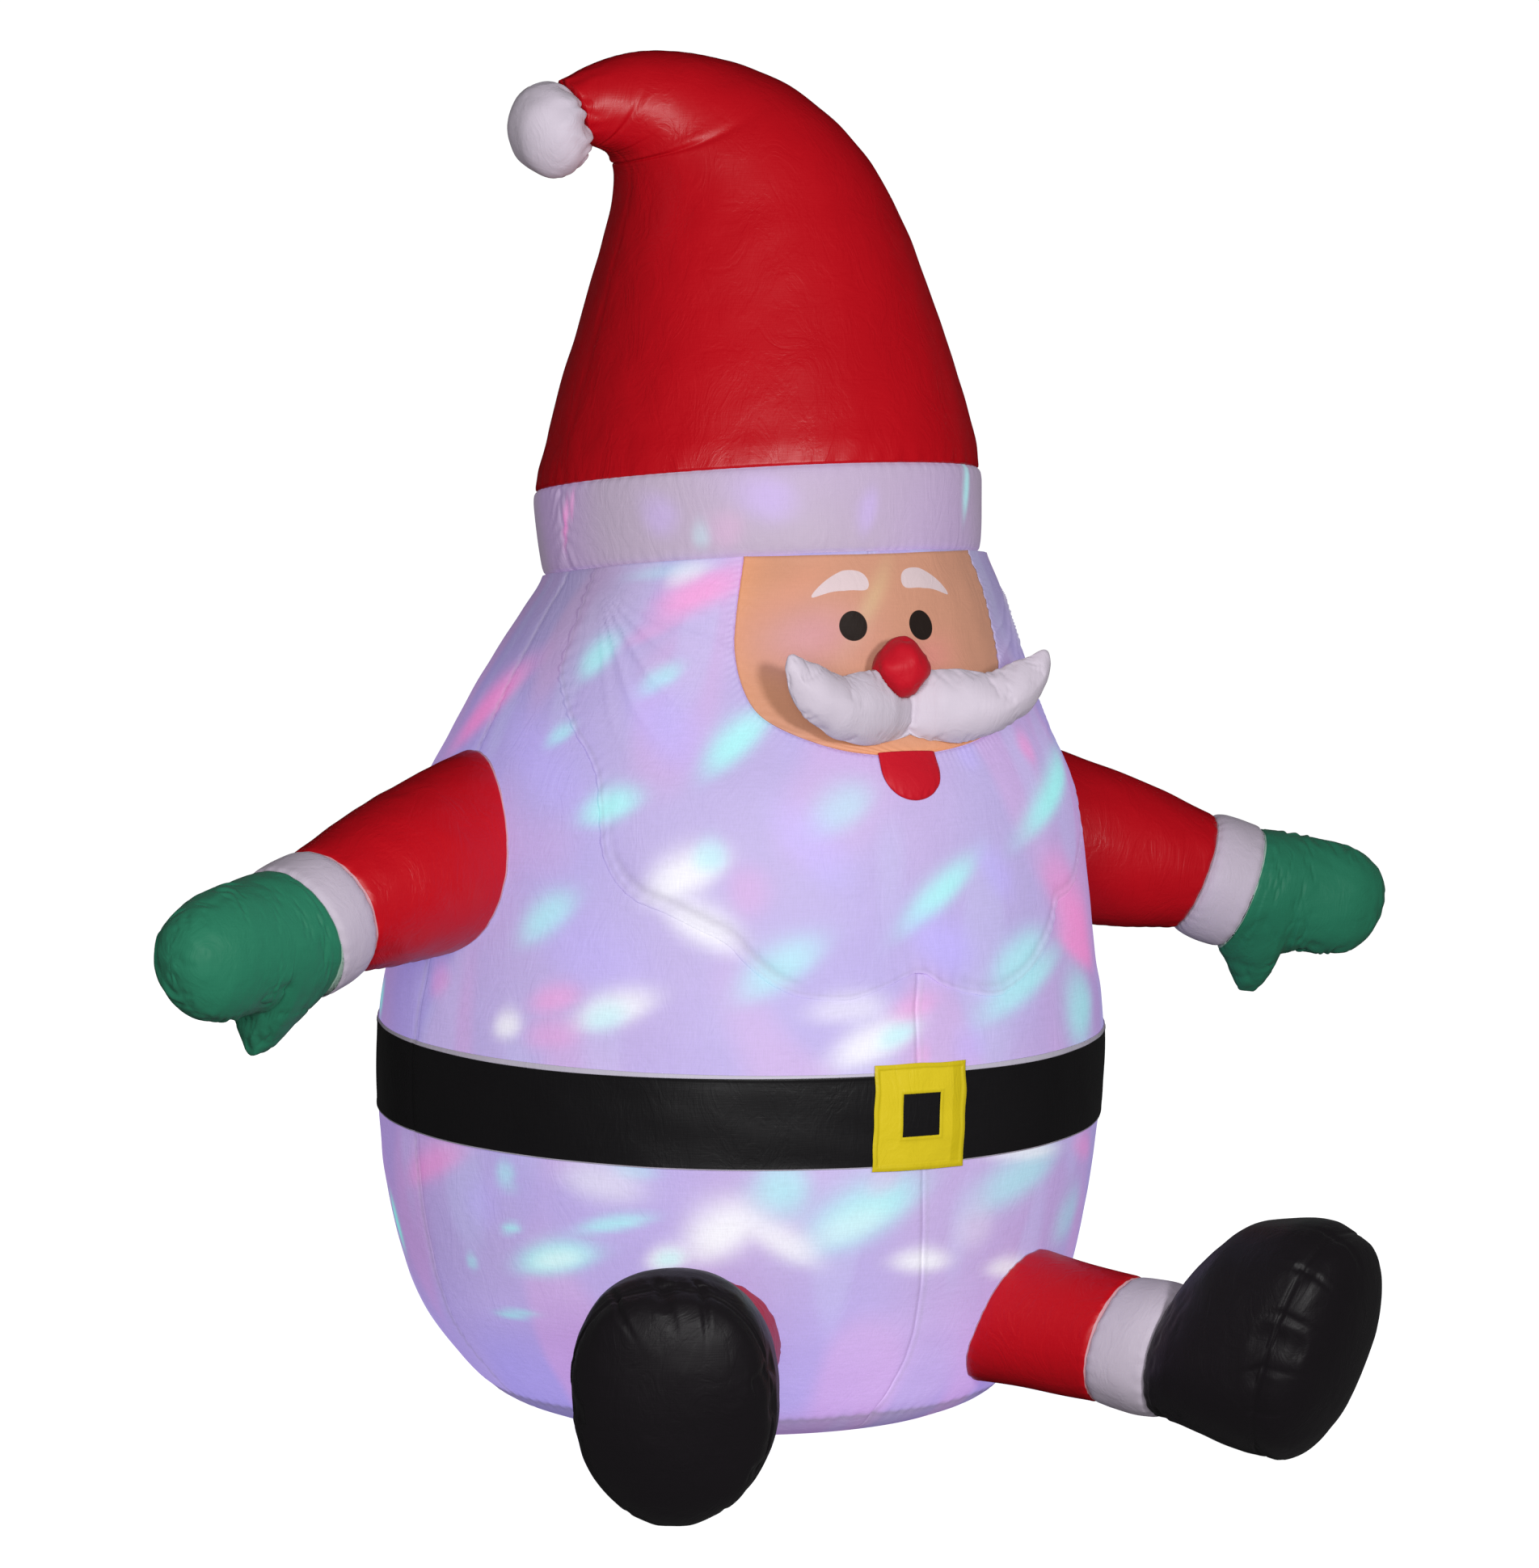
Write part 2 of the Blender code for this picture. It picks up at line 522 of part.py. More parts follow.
def make_hat():
    """The brim, the hat that bends over to Santa's right, and the pompom on its tip."""
    pale = material("brim_pale", (0.44, 0.33, 0.63), 0.5)
    red = material("hat_red", (0.50, 0.010, 0.018), 0.4)
    white = material("pompom_white", (0.69, 0.60, 0.68), 0.55)
    middle = np.array([0.0, -HEAD_FORWARD * float(smooth(FORWARD_PROFILE, 1.0)), TRUNK_HEIGHT])
    ahead = np.array([0.0, -math.cos(BRIM_TILT), math.sin(BRIM_TILT)])
    aside = np.array([math.cos(BRIM_SIDE_TILT), 0.0, math.sin(BRIM_SIDE_TILT)])
    normal = unit(np.cross(ahead, aside))
    angle = np.arange(TRUNK_FACETS) * 2 * math.pi / TRUNK_FACETS

    def brim_ring(share, radius):
        level = CLEAR + share * BRIM_WIDTH
        return (middle + normal * level + np.outer(np.sin(angle), aside) * radius
                + np.outer(np.cos(angle), ahead) * radius)

    brim_radius = BELLY_RADIUS * float(smooth(TRUNK_PROFILE, 1.0)) + BRIM_STAND
    hat_radius = brim_radius - HAT_INSET
    bulge = [(0.0, 0.965), (0.15, 0.98), (0.5, 0.994), (0.85, 1.0), (1.0, 0.992)]
    solid("hat_brim", [brim_ring(s, r * brim_radius) for s, r in bulge], pale)
    top = middle + normal * (BRIM_WIDTH + 2 * CLEAR)
    spin = np.arange(HAT_FACETS) * 2 * math.pi / HAT_FACETS
    rings = []
    for shift, rise, radius, tilt in HAT_RINGS:
        fade = max(0.0, 1.0 - rise / 0.7)
        back = BRIM_TILT * fade
        lean = math.radians(tilt) + BRIM_SIDE_TILT * fade
        side = np.array([math.cos(lean), 0.0, math.sin(lean)])
        front = np.array([0.0, -math.cos(back), math.sin(back)])
        centre = top + np.array([shift, 0.02 * min(rise, 0.4), rise]) * HAT_HEIGHT
        ring = np.outer(np.sin(spin), side) + np.outer(np.cos(spin), front)
        rings.append(centre + ring * radius * hat_radius)
    solid("hat", rings, red)
    # the pompom hangs off the hat's tip, along the tip's own direction
    tip = np.mean(rings[-1], axis=0)
    lean = math.radians(HAT_RINGS[-1][3])
    down = unit(np.array([-math.sin(lean), 0.0, math.cos(lean)]))
    across = np.array([math.cos(lean), 0.0, math.sin(lean)])
    start = tip + down * (CLEAR * 2) - across * POMPOM_DROP
    turns = np.linspace(POMPOM_TIE_ANGLE, math.pi - 0.15, 8)
    neck = math.cos(POMPOM_TIE_ANGLE)
    length = POMPOM_WIDTH / (1.0 + neck) * 2
    rings = []
    spin = np.arange(14) * 2 * math.pi / 14
    for turn in turns:
        along = (neck - math.cos(turn)) * length / 2
        radius = math.sin(turn) * POMPOM_HEIGHT / 2
        rings.append(start + down * along + (np.outer(np.sin(spin), across)
                                             + np.outer(np.cos(spin), (0.0, -1.0, 0.0))) * radius)
    solid("pompom", rings, white)


# Limbs

def frame_of(start, end):
    """Along, sideways and up for a limb that runs from start to end."""
    along = unit(np.asarray(end, float) - np.asarray(start, float))
    side = unit(np.cross(along, (0.0, 0.0, 1.0)))
    return along, side, np.cross(side, along)


def limb_ring(centre, side, up, wide, rise, drop, count, tip=1.0, sway=0.0):
    """A ring with its own half width, rise over the axis and drop below it.

    tip under 1 narrows the lower part, and sway carries it sideways.
    """
    angle = np.arange(count) * 2 * math.pi / count
    s = np.sin(angle)
    c = np.cos(angle)
    lower = np.where(s < 0, 1.0 - (1.0 - tip) * s ** 2, 1.0)
    away = c * wide * lower + np.where(s < 0, sway * s ** 2, 0.0)
    return (np.asarray(centre) + np.outer(away, side) + np.outer(np.where(s > 0, s * rise, s * drop), up))


def mirror(points, flip):
    """The point itself, or its mirror image on Santa's left."""
    return np.asarray(points, float) * ((-1.0, 1.0, 1.0) if flip else (1.0, 1.0, 1.0))


def make_arm(word, flip, backing):
    """A sleeve cut off by the trunk, a cuff, and a mitten with its thumb down."""
    red = bpy.data.materials["hat_red"]
    white = bpy.data.materials["cuff_white"]
    green = bpy.data.materials["mitten_green"]
    shoulder, wrist, palm, tip = [mirror(p, flip) for p in (SHOULDER, WRIST, PALM, FINGERTIP)]
    along, side, up = frame_of(wrist, palm)
    count = 18
    # the sleeve starts inside the trunk and is cut off by it
    a0, s0, u0 = frame_of(shoulder, wrist)
    last = WRIST_RADIUS / SHOULDER_RADIUS
    rings = []
    for s, share in ((0.0, 0.97), (0.3, 0.94), (0.55, 0.885), (0.78, 0.79), (0.92, 0.705), (1.0, last)):
        f = s ** 2
        sd, uu = unit(s0 * (1 - f) + side * f), unit(u0 * (1 - f) + up * f)
        r = share * SHOULDER_RADIUS
        rings.append(limb_ring(shoulder * (1 - s) + wrist * s, sd, uu, r, r, r, count))
    cut(solid(word + "_sleeve", rings, red), backing)
    length = np.linalg.norm(palm - wrist)
    rings = []
    for s, r in ((0.0, WRIST_RADIUS), (0.25, CUFF_RADIUS * 0.985), (0.55, CUFF_RADIUS),
                 (0.85, CUFF_RADIUS * 0.995), (1.0, PALM_RADIUS)):
        centre = wrist + along * (CLEAR + s * (length - 2 * CLEAR))
        rings.append(limb_ring(centre, side, up, r, r, r, count))
    solid(word + "_cuff", rings, white)
    # the mitten: a flat pillow with the thumb hanging down from its heel
    a1, side1, up1 = frame_of(palm, tip)
    rings = []
    # share of the way to the fingertip: drop, rise and half width as shares of the palm's radius
    drop = [(0.0, 1.0), (0.06, 1.18), (0.13, 1.44), (0.2, 1.68), (0.25, 1.68), (0.29, 1.4), (0.32, 1.02),
            (0.4, 0.97), (0.6, 0.99), (0.75, 0.94), (0.86, 0.78), (0.95, 0.48), (1.0, 0.2)]
    rise = [(0.0, 1.0), (0.1, 0.97), (0.3, 0.93), (0.6, 0.84), (0.8, 0.68), (0.93, 0.42), (1.0, 0.17)]
    wide = [(0.0, 1.0), (0.15, 0.92), (0.4, 0.80), (0.7, 0.7), (0.88, 0.5), (0.96, 0.3), (1.0, 0.12)]
    for s in (0.0, 0.06, 0.13, 0.2, 0.25, 0.29, 0.32, 0.4, 0.55, 0.7, 0.82, 0.91, 0.97, 1.0):
        f = min(1.0, s * 3)
        sd, uu = unit(side * (1 - f) + side1 * f), unit(up * (1 - f) + up1 * f)
        centre = palm + along * CLEAR * (1 - s) + (tip - palm) * s
        d = float(smooth(drop, s)) * PALM_RADIUS
        narrow = 1.0 if d <= PALM_RADIUS else PALM_RADIUS / d * 0.8
        sway = THUMB_BACK * max(0.0, d / PALM_RADIUS - 1.0) / 0.68 * (-1 if flip else 1)
        rings.append(limb_ring(centre, sd, uu, float(smooth(wide, s)) * PALM_RADIUS,
                               float(smooth(rise, s)) * PALM_RADIUS, d, count, narrow, sway))
    solid(word + "_mitten", rings, green)


def rounded(angle, power):
    """Cosine and sine of a ring that gets squarer as the power rises over 2."""
    c, s = np.cos(angle), np.sin(angle)
    return np.sign(c) * np.abs(c) ** (2 / power), np.sign(s) * np.abs(s) ** (2 / power)


def make_leg(word, bearing, backing):
    """A trouser leg cut off by the trunk, a cuff, and a boot with its sole towards the viewer."""
    red = bpy.data.materials["hat_red"]
    white = bpy.data.materials["cuff_white"]
    black = bpy.data.materials["boot_black"]
    angle = math.radians(bearing)
    along = np.array([math.sin(angle), -math.cos(angle), 0.0])
    side = np.array([math.cos(angle), math.sin(angle), 0.0])
    count = 18
    spin = np.arange(count) * 2 * math.pi / count

    def ring(reach, level, tilt, wide, rise, drop, box=2.0):
        """A ring across the leg, its top tilted outwards; box squares off its upper half."""
        lean = math.radians(tilt)
        up = along * math.sin(lean) + np.array([0.0, 0.0, math.cos(lean)])
        c, s = rounded(spin, 2.0)
        cb, sb = rounded(spin, box)
        c, s = np.where(s > 0, cb, c), np.where(s > 0, sb, s)
        return (along * reach + (0.0, 0.0, level) + np.outer(c * wide, side)
                + np.outer(np.where(s > 0, s * rise, s * drop), up))

    # trouser leg: out of the trunk, a little downwards
    leg_end = BELLY_RADIUS + LEG_LENGTH
    hip = BELLY_RADIUS - HIP_DEPTH
    rings = []
    for way, share, swell in ((0.0, 0.0, 1.16), (0.336, 0.35, 1.12), (0.7, 0.7, 1.04), (1.0, 1.0, 1.0)):
        reach = hip + (leg_end - CLEAR - hip) * way
        level = HIP_LEVEL + (LEG_END_LEVEL - HIP_LEVEL) * share
        r = LEG_RADIUS * swell
        rings.append(ring(reach, level, LEG_TILT * share, r, r, r))
    cut(solid(word + "_leg", rings, red), backing)
    rings = []
    for s, r in ((0.0, LEG_RADIUS), (0.25, LEG_CUFF_RADIUS * 0.99), (0.6, LEG_CUFF_RADIUS),
                 (1.0, LEG_RADIUS)):
        level = LEG_END_LEVEL + s * (ANKLE_LEVEL - LEG_END_LEVEL)
        tilt = LEG_TILT + s * (ANKLE_TILT - LEG_TILT)
        rings.append(ring(leg_end + CLEAR + s * (LEG_CUFF_WIDTH - 2 * CLEAR), level, tilt, r, r, r))
    solid(word + "_leg_cuff", rings, white)
    # the boot: it swells at once from the ankle, arches over the toe and comes down to the sole's seam
    ankle = leg_end + LEG_CUFF_WIDTH
    half = SOLE_HEIGHT / 2
    thin = LEG_RADIUS / half
    sole_level = half * math.cos(math.radians(SOLE_TILT))
    ways = (0.0, 0.1, 0.25, 0.45, 0.7, 0.85, 1.0)
    rises = (thin, 0.72, 0.95, 1.12, 1.14, 1.11, 1.0)
    widths = (LEG_RADIUS / SOLE_WIDTH * 2, 0.84, 0.94, 1.0, 1.02, 1.02, 1.0)
    drops = thin + (1.0 - thin) * np.array([0.0, 0.05, 0.18, 0.4, 0.72, 0.88, 1.0])
    rings = []
    for s, rise, wide, drop in zip(ways, rises, widths, drops):
        reach = ankle + CLEAR + s * (BOOT_LENGTH - CLEAR)
        level = ANKLE_LEVEL + s * (sole_level - ANKLE_LEVEL)
        tilt = ANKLE_TILT + s * (SOLE_TILT - ANKLE_TILT)
        box = 2.0 + 0.5 * min(1.0, s * 3)
        rings.append(ring(reach, level, tilt, wide * SOLE_WIDTH / 2, rise * half, drop * half, box))
    lean = math.radians(SOLE_TILT)
    for s in (0.4, 0.7, 0.88, 0.975):
        shrink = (1.0 - s ** 2.2) ** (1 / 2.2)
        reach = ankle + BOOT_LENGTH + s * SOLE_BULGE * math.cos(lean)
        level = sole_level - s * SOLE_BULGE * math.sin(lean)
        tall = half * shrink
        rings.append(ring(reach, level, SOLE_TILT, SOLE_WIDTH / 2 * shrink, tall, tall, 2.5))
    solid(word + "_boot", rings, black)


def main():
    """Every piece, each cut off where it meets the trunk or what lies on the trunk."""
    for thing in list(bpy.data.objects):
        bpy.data.objects.remove(thing, do_unlink=True)
    make_trunk()
    material("cuff_white", (0.56, 0.49, 0.56), 0.5)
    material("mitten_green", (0.035, 0.20, 0.11), 0.4)
    material("boot_black", (0.016, 0.013, 0.017), 0.3)
    backing = trunk_cutter("trunk_backing", CLEAR)
    over_skin = trunk_cutter("trunk_over_skin", BEARD_PUFF + 2 * CLEAR)
    make_belt()
    red = make_face(backing)
    make_lip(red, over_skin)
    moustache = make_moustache(over_skin)
    seat = make_nose(over_skin)
    cut(moustache, seat)
    make_hat()
    make_arm("right", False, backing)
    make_arm("left", True, backing)
    make_leg("right", RIGHT_LEG_BEARING, backing)
    make_leg("left", LEFT_LEG_BEARING, backing)


main()
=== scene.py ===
# %% [markdown]
# # An inflatable santa, 2.1 m high
# The real thing is one bag of thin polyester, sewn from coloured panels and blown up by a fan. Its weight is
# nothing and its shape comes from the seams: cloth billows between them and puckers along them. This lesson builds
# every panel as a surface worked out with numpy, puckers it along its seams, and lights it from inside.

import bpy
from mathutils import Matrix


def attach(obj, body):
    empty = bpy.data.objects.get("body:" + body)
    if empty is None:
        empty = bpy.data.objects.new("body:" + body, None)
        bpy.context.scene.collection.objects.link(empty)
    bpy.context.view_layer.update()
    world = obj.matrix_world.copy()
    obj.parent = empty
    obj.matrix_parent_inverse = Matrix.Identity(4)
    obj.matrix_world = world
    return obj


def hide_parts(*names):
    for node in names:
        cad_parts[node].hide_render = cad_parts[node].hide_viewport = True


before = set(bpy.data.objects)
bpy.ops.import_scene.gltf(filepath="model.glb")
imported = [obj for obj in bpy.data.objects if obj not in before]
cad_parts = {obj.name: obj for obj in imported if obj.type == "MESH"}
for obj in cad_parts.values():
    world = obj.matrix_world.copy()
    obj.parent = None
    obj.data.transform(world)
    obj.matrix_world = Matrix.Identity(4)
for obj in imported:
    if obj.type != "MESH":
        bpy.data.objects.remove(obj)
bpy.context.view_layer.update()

import bpy
import math
import time
import numpy as np
from mathutils import Vector

started = time.time()

# %% [markdown]
# ## Camera
# The photograph was taken from Santa's right, a little over 7 m away, with a long lens at about chest height. The
# camera turns 30 degrees round him, looks 3.3 degrees down, and its lens is given over a square-sided film of 36 mm.

# %% Camera
CAMERA_BEARING = -30.0
CAMERA_AWAY = 7.04
CAMERA_HEIGHT = 1.38
LOOK_DOWN = 3.33
LOOK_RIGHT = 0.375
UP = np.array([0.0, 0.0, 1.0])


def level_ways(bearing):
    """Two level directions of a bearing in degrees, counted from Santa's front: outwards, and a right turn on."""
    turn = math.radians(bearing)
    return np.array([math.sin(turn), -math.cos(turn), 0.0]), np.array([math.cos(turn), math.sin(turn), 0.0])


outward_way, rightward = level_ways(CAMERA_BEARING)
ahead = -outward_way * math.cos(math.radians(LOOK_RIGHT)) + rightward * math.sin(math.radians(LOOK_RIGHT))
gaze = ahead * math.cos(math.radians(LOOK_DOWN)) - UP * math.sin(math.radians(LOOK_DOWN))

lens = bpy.data.cameras.new("camera")
lens.sensor_fit = 'VERTICAL'
lens.sensor_height = 36.0
lens.lens = 102.06
lens.clip_end = 200.0
camera = bpy.data.objects.new("camera", lens)
bpy.context.scene.collection.objects.link(camera)
camera.location = tuple(outward_way * CAMERA_AWAY + UP * CAMERA_HEIGHT)
camera.rotation_euler = Vector(gaze).to_track_quat('-Z', 'Y').to_euler()
bpy.context.scene.camera = camera
print("camera at", [round(v, 3) for v in camera.location])

# %% [markdown]
# ## Small tools
# A profile drawn from a few measured points has to pass through them without swinging past, or the belly gets
# waves. A cubic between each two points, its slope at a point the harmonic mean of the slopes beside it, does that.

# %% Smooth curves and random relief
def smooth(table, x):
    """A smooth curve through the table's points: a cubic on each stretch, with harmonic-mean slopes at the points."""
    table = np.array(table, float)
    xs, ys = table[:, 0], table[:, 1]
    slope = np.diff(ys) / np.diff(xs)
    tangent = np.zeros(len(xs))
    tangent[0], tangent[-1] = slope[0], slope[-1]
    before, after = slope[:-1], slope[1:]
    same = before * after > 0
    tangent[1:-1][same] = (2 * before * after)[same] / (before + after)[same]
    x = np.asarray(x, float)
    i = np.clip(np.searchsorted(xs, x) - 1, 0, len(xs) - 2)
    h = xs[i + 1] - xs[i]
    t = (x - xs[i]) / h
    return ((2 * t ** 3 - 3 * t ** 2 + 1) * ys[i] + (t ** 3 - 2 * t ** 2 + t) * h * tangent[i]
            + (-2 * t ** 3 + 3 * t ** 2) * ys[i + 1] + (t ** 3 - t ** 2) * h * tangent[i + 1])


def unit(v):
    """The same directions, each of length one."""
    v = np.asarray(v, float)
    return v / np.maximum(np.linalg.norm(v, axis=-1, keepdims=True), 1e-12)


def ripples(points, size, seed, waves=12):
    """Gentle random relief, mostly from -1 to 1: sine waves about one size long, added in random directions."""
    dice = np.random.default_rng(seed)
    ways = unit(dice.normal(size=(waves, 3)))
    pitch = 2 * math.pi / (size * dice.uniform(0.7, 1.5, waves))
    start = dice.uniform(0.0, 2 * math.pi, waves)
    total = np.zeros(points.shape[:-1])
    for way, k, s in zip(ways, pitch, start):
        total += np.sin(points @ way * k + s)
    return total / math.sqrt(waves)


def beat_of(points, phase, size, seed, wander=2.5):
    """Puckers: the sine of a phase that random relief makes wander, so that no two are quite alike."""
    return np.sin(phase + wander * ripples(points, size, seed))


def bump_of(x, width):
    """A smooth hump, one at zero and fading over about a width each side."""
    return np.exp(-(x / width) ** 2)


def dying(distance, reach):
    """One at a seam, less and less away from it."""
    return np.exp(-distance / reach)


def between(low, high, x):
    """Zero under low, one over high, and a smooth S between."""
    t = np.clip((x - low) / (high - low), 0.0, 1.0)
    return t * t * (3 - 2 * t)


def blend(one, other, share):
    """From one colour or point to the other, by a share at each place."""
    share = np.asarray(share, float)[..., None]
    return np.asarray(one) * (1 - share) + np.asarray(other) * share


def on_drum(bearing, height, radius=1.0):
    """Points on a drum, where relief has no jump at the back: the sine and cosine of the bearing, and the height."""
    turn = np.radians(bearing)
    return np.stack([np.sin(turn) * radius, np.cos(turn) * radius, height], axis=-1)


def ring_angles(cols):
    """Even angles round a ring, in radians."""
    return np.arange(cols) * 2 * math.pi / cols


def turn_between(bearing, seam):
    """Degrees from a seam, the short way round."""
    return (bearing - seam + 180.0) % 360.0 - 180.0


def stretches(places, counts):
    """Even steps from each place to the next, a count for each stretch; neighbours share their end."""
    parts = [np.linspace(a, b, n)[:-1] for a, b, n in zip(places, places[1:], counts)]
    return np.concatenate(parts + [places[-1:]])


print("a curve through (0,0), (1,2), (2,1) at 1:", float(smooth([(0, 0), (1, 2), (2, 1)], 1.0)))

# %% [markdown]
# ## From a grid of points to a mesh
# Every panel is a grid of points: rows along the piece, columns round it. The ends close with rings that shrink to
# one point, a pole. A grid can come out inside out, so the signed volume, the sum of each face's little pyramid
# over the origin, says whether to turn all the faces round.

# %% Mesh from a grid
def outward(points):
    """Unit normals of a grid: across its two directions, turned away from each ring's middle."""
    along = np.gradient(points, axis=0)
    across = np.roll(points, -1, 1) - np.roll(points, 1, 1)
    normal = unit(np.cross(across, along))
    away = points - points.mean(axis=1, keepdims=True)
    return normal if (normal * away).sum() > 0 else -normal


def raised(points, relief):
    """The grid with relief laid on it, in metres along its normals."""
    return points + outward(points) * relief[..., None]


def with_lids(points, first, last):
    """The grid with each end closed by rings that shrink evenly towards its middle; none where the count is 0."""
    def lid(ring, count):
        share = np.linspace(1.0, 0.0, count + 1)[1:-1, None, None]
        middle = ring.mean(axis=0)
        return middle + (ring[None] - middle) * share
    parts = [points]
    if first > 1:
        parts.insert(0, lid(points[0], first)[::-1])
    if last > 1:
        parts.append(lid(points[-1], last))
    return np.concatenate(parts)


def mesh_of(name, verts, faces, finish, cloth=None, glow=None):
    """A smooth mesh object with its material. cloth, a vector, and glow, a colour, become attributes of its points."""
    mesh = bpy.data.meshes.new(name)
    mesh.from_pydata(verts, [], faces)
    if cloth is not None:
        mesh.attributes.new("cloth", 'FLOAT_VECTOR', 'POINT').data.foreach_set(
            "vector", np.asarray(cloth, np.float32).ravel())
    if glow is not None:
        glow = np.hstack([glow, np.ones((len(glow), 1))]).astype(np.float32)
        mesh.attributes.new("glow", 'FLOAT_COLOR', 'POINT').data.foreach_set("color", glow.ravel())
    mesh.shade_smooth()
    mesh.materials.append(finish)
    piece = bpy.data.objects.new(name, mesh)
    bpy.context.scene.collection.objects.link(piece)
    print(f"{name}: {len(verts)} points,", " x ".join(f"{side:.3f}" for side in np.ptp(verts, axis=0)), "m")
    return piece


def mesh_piece(name, points, finish, lids=(0, 0), poles=(True, True), cloth=None, glow=None, loop=False):
    """A closed mesh from a grid of rings, with lids of so many rings and a pole at each end; loop joins its last
    ring to its first. cloth and glow are grids of the same shape, and go on over the lids as they are at the ends."""
    points = with_lids(points, *lids)
    rows, cols = points.shape[:2]
    verts = points.reshape(-1, 3)
    i, j = np.meshgrid(np.arange(rows if loop else rows - 1), np.arange(cols), indexing="ij")
    k, n = (j + 1) % cols, (i + 1) % rows
    quads = np.stack([i * cols + j, i * cols + k, n * cols + k, n * cols + j], axis=-1).reshape(-1, 4)
    faces = quads.tolist()
    step = np.arange(cols)
    after = (step + 1) % cols
    ends = [row for wanted, row in zip(poles, (0, rows - 1)) if wanted]
    for row in ends:
        one, two = (after, step) if row == 0 else (step, after)
        faces += np.stack([row * cols + one, row * cols + two, np.full(cols, len(verts))], axis=-1).tolist()
        verts = np.vstack([verts, points[row].mean(axis=0)])
    a, b, c, d = (verts[quads[:, n]] - verts.mean(axis=0) for n in range(4))
    if (a * np.cross(b, c)).sum() + (a * np.cross(c, d)).sum() < 0:
        faces = [face[::-1] for face in faces]

    def values(grid):
        if grid is None:
            return None
        grid = np.concatenate([np.repeat(grid[:1], max(lids[0] - 1, 0), 0), grid,
                               np.repeat(grid[-1:], max(lids[1] - 1, 0), 0)])
        return np.vstack([grid.reshape(-1, 3), *(grid[row].mean(axis=0) for row in ends)])

    return mesh_of(name, verts, faces, finish, values(cloth), values(glow))


def border(distance):
    """A cloth attribute from the distance to a panel's border."""
    return np.stack([distance, np.zeros_like(distance), np.zeros_like(distance)], axis=-1)


def dress(piece, node):
    """Says what a piece stands for: it rides on the one body and replaces a node, which it hides."""
    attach(piece, "root")
    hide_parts(node)
    return piece


# %% [markdown]
# ## Shader maths
# A material here is written as sums on sockets. One small class wraps a socket, and each operator adds its Math
# node, so that 1 - mask means what it says. Any other node comes from one method.

# %% Socket class
class Socket:
    """An output of a node, with the operators of arithmetic."""

    def __init__(self, tree, output):
        self.tree, self.output = tree, output

    def node(self, kind, settings=None, values=None, out=0):
        """A node of a type: its settings first, then the values or links of its inputs, by name or number."""
        made = self.tree.nodes.new(kind)
        for word, value in (settings or {}).items():
            setattr(made, word, value)
        for word, value in (values or {}).items():
            if isinstance(value, Socket):
                self.tree.links.new(value.output, made.inputs[word])
            else:
                made.inputs[word].default_value = value
        return Socket(self.tree, made.outputs[out])

    def maths(self, operation, *others, clamp=False):
        """A Math node on this value and the others."""
        values = dict(enumerate((self, *others)))
        return self.node('ShaderNodeMath', {"operation": operation, "use_clamp": clamp}, values)

    def __add__(self, other):
        return self.maths('ADD', other)

    def __sub__(self, other):
        return self.maths('SUBTRACT', other)

    def __rsub__(self, other):
        return self.node('ShaderNodeMath', {"operation": 'SUBTRACT'}, {0: other, 1: self})

    def __mul__(self, other):
        return self.maths('MULTIPLY', other)

    def __truediv__(self, other):
        return self.maths('DIVIDE', other)

    def __pow__(self, other):
        return self.maths('POWER', other)

    def step(self, low, high):
        """Zero under low, one over high, smooth between."""
        return self.node('ShaderNodeMapRange', {"interpolation_type": 'SMOOTHSTEP'},
                         {"Value": self, "From Min": low, "From Max": high})

    def mix(self, one, other):
        """A colour between one and other, this value being the share of the other."""
        colours = {n: c if isinstance(c, Socket) else (*c, 1.0) for n, c in ((6, one), (7, other))}
        return self.node('ShaderNodeMix', {"data_type": 'RGBA'}, {0: self, **colours}, 2)

    def attribute(self, name):
        """The three parts of a vector that the mesh holds under a name."""
        parts = self.node('ShaderNodeSeparateXYZ', {}, {0: self.node('ShaderNodeAttribute',
                                                                     {"attribute_name": name}, out=1)})
        return [Socket(self.tree, output) for output in parts.output.node.outputs]


print("a socket adds, subtracts, multiplies, divides, steps and mixes")

# %% [markdown]
# ## Cloth
# The panels are satin polyester, 0.1 mm thick. Close up it shows fine threads both ways, a few thicker than the
# rest, and faint handling creases. In a photograph of the whole figure they are only a grain, so the weave here is
# noise drawn out along two directions, with a slow change of tone on top.

# %% Satin material
GRAIN = 0.5


def piping(colour):
    """A painter that draws a pale thread line where a panel's border is less than 2 mm away."""
    def paint(start, base):
        return (1.0 - start.attribute("cloth")[0].step(0.0014, 0.0026)).mix(base, colour), None
    return paint


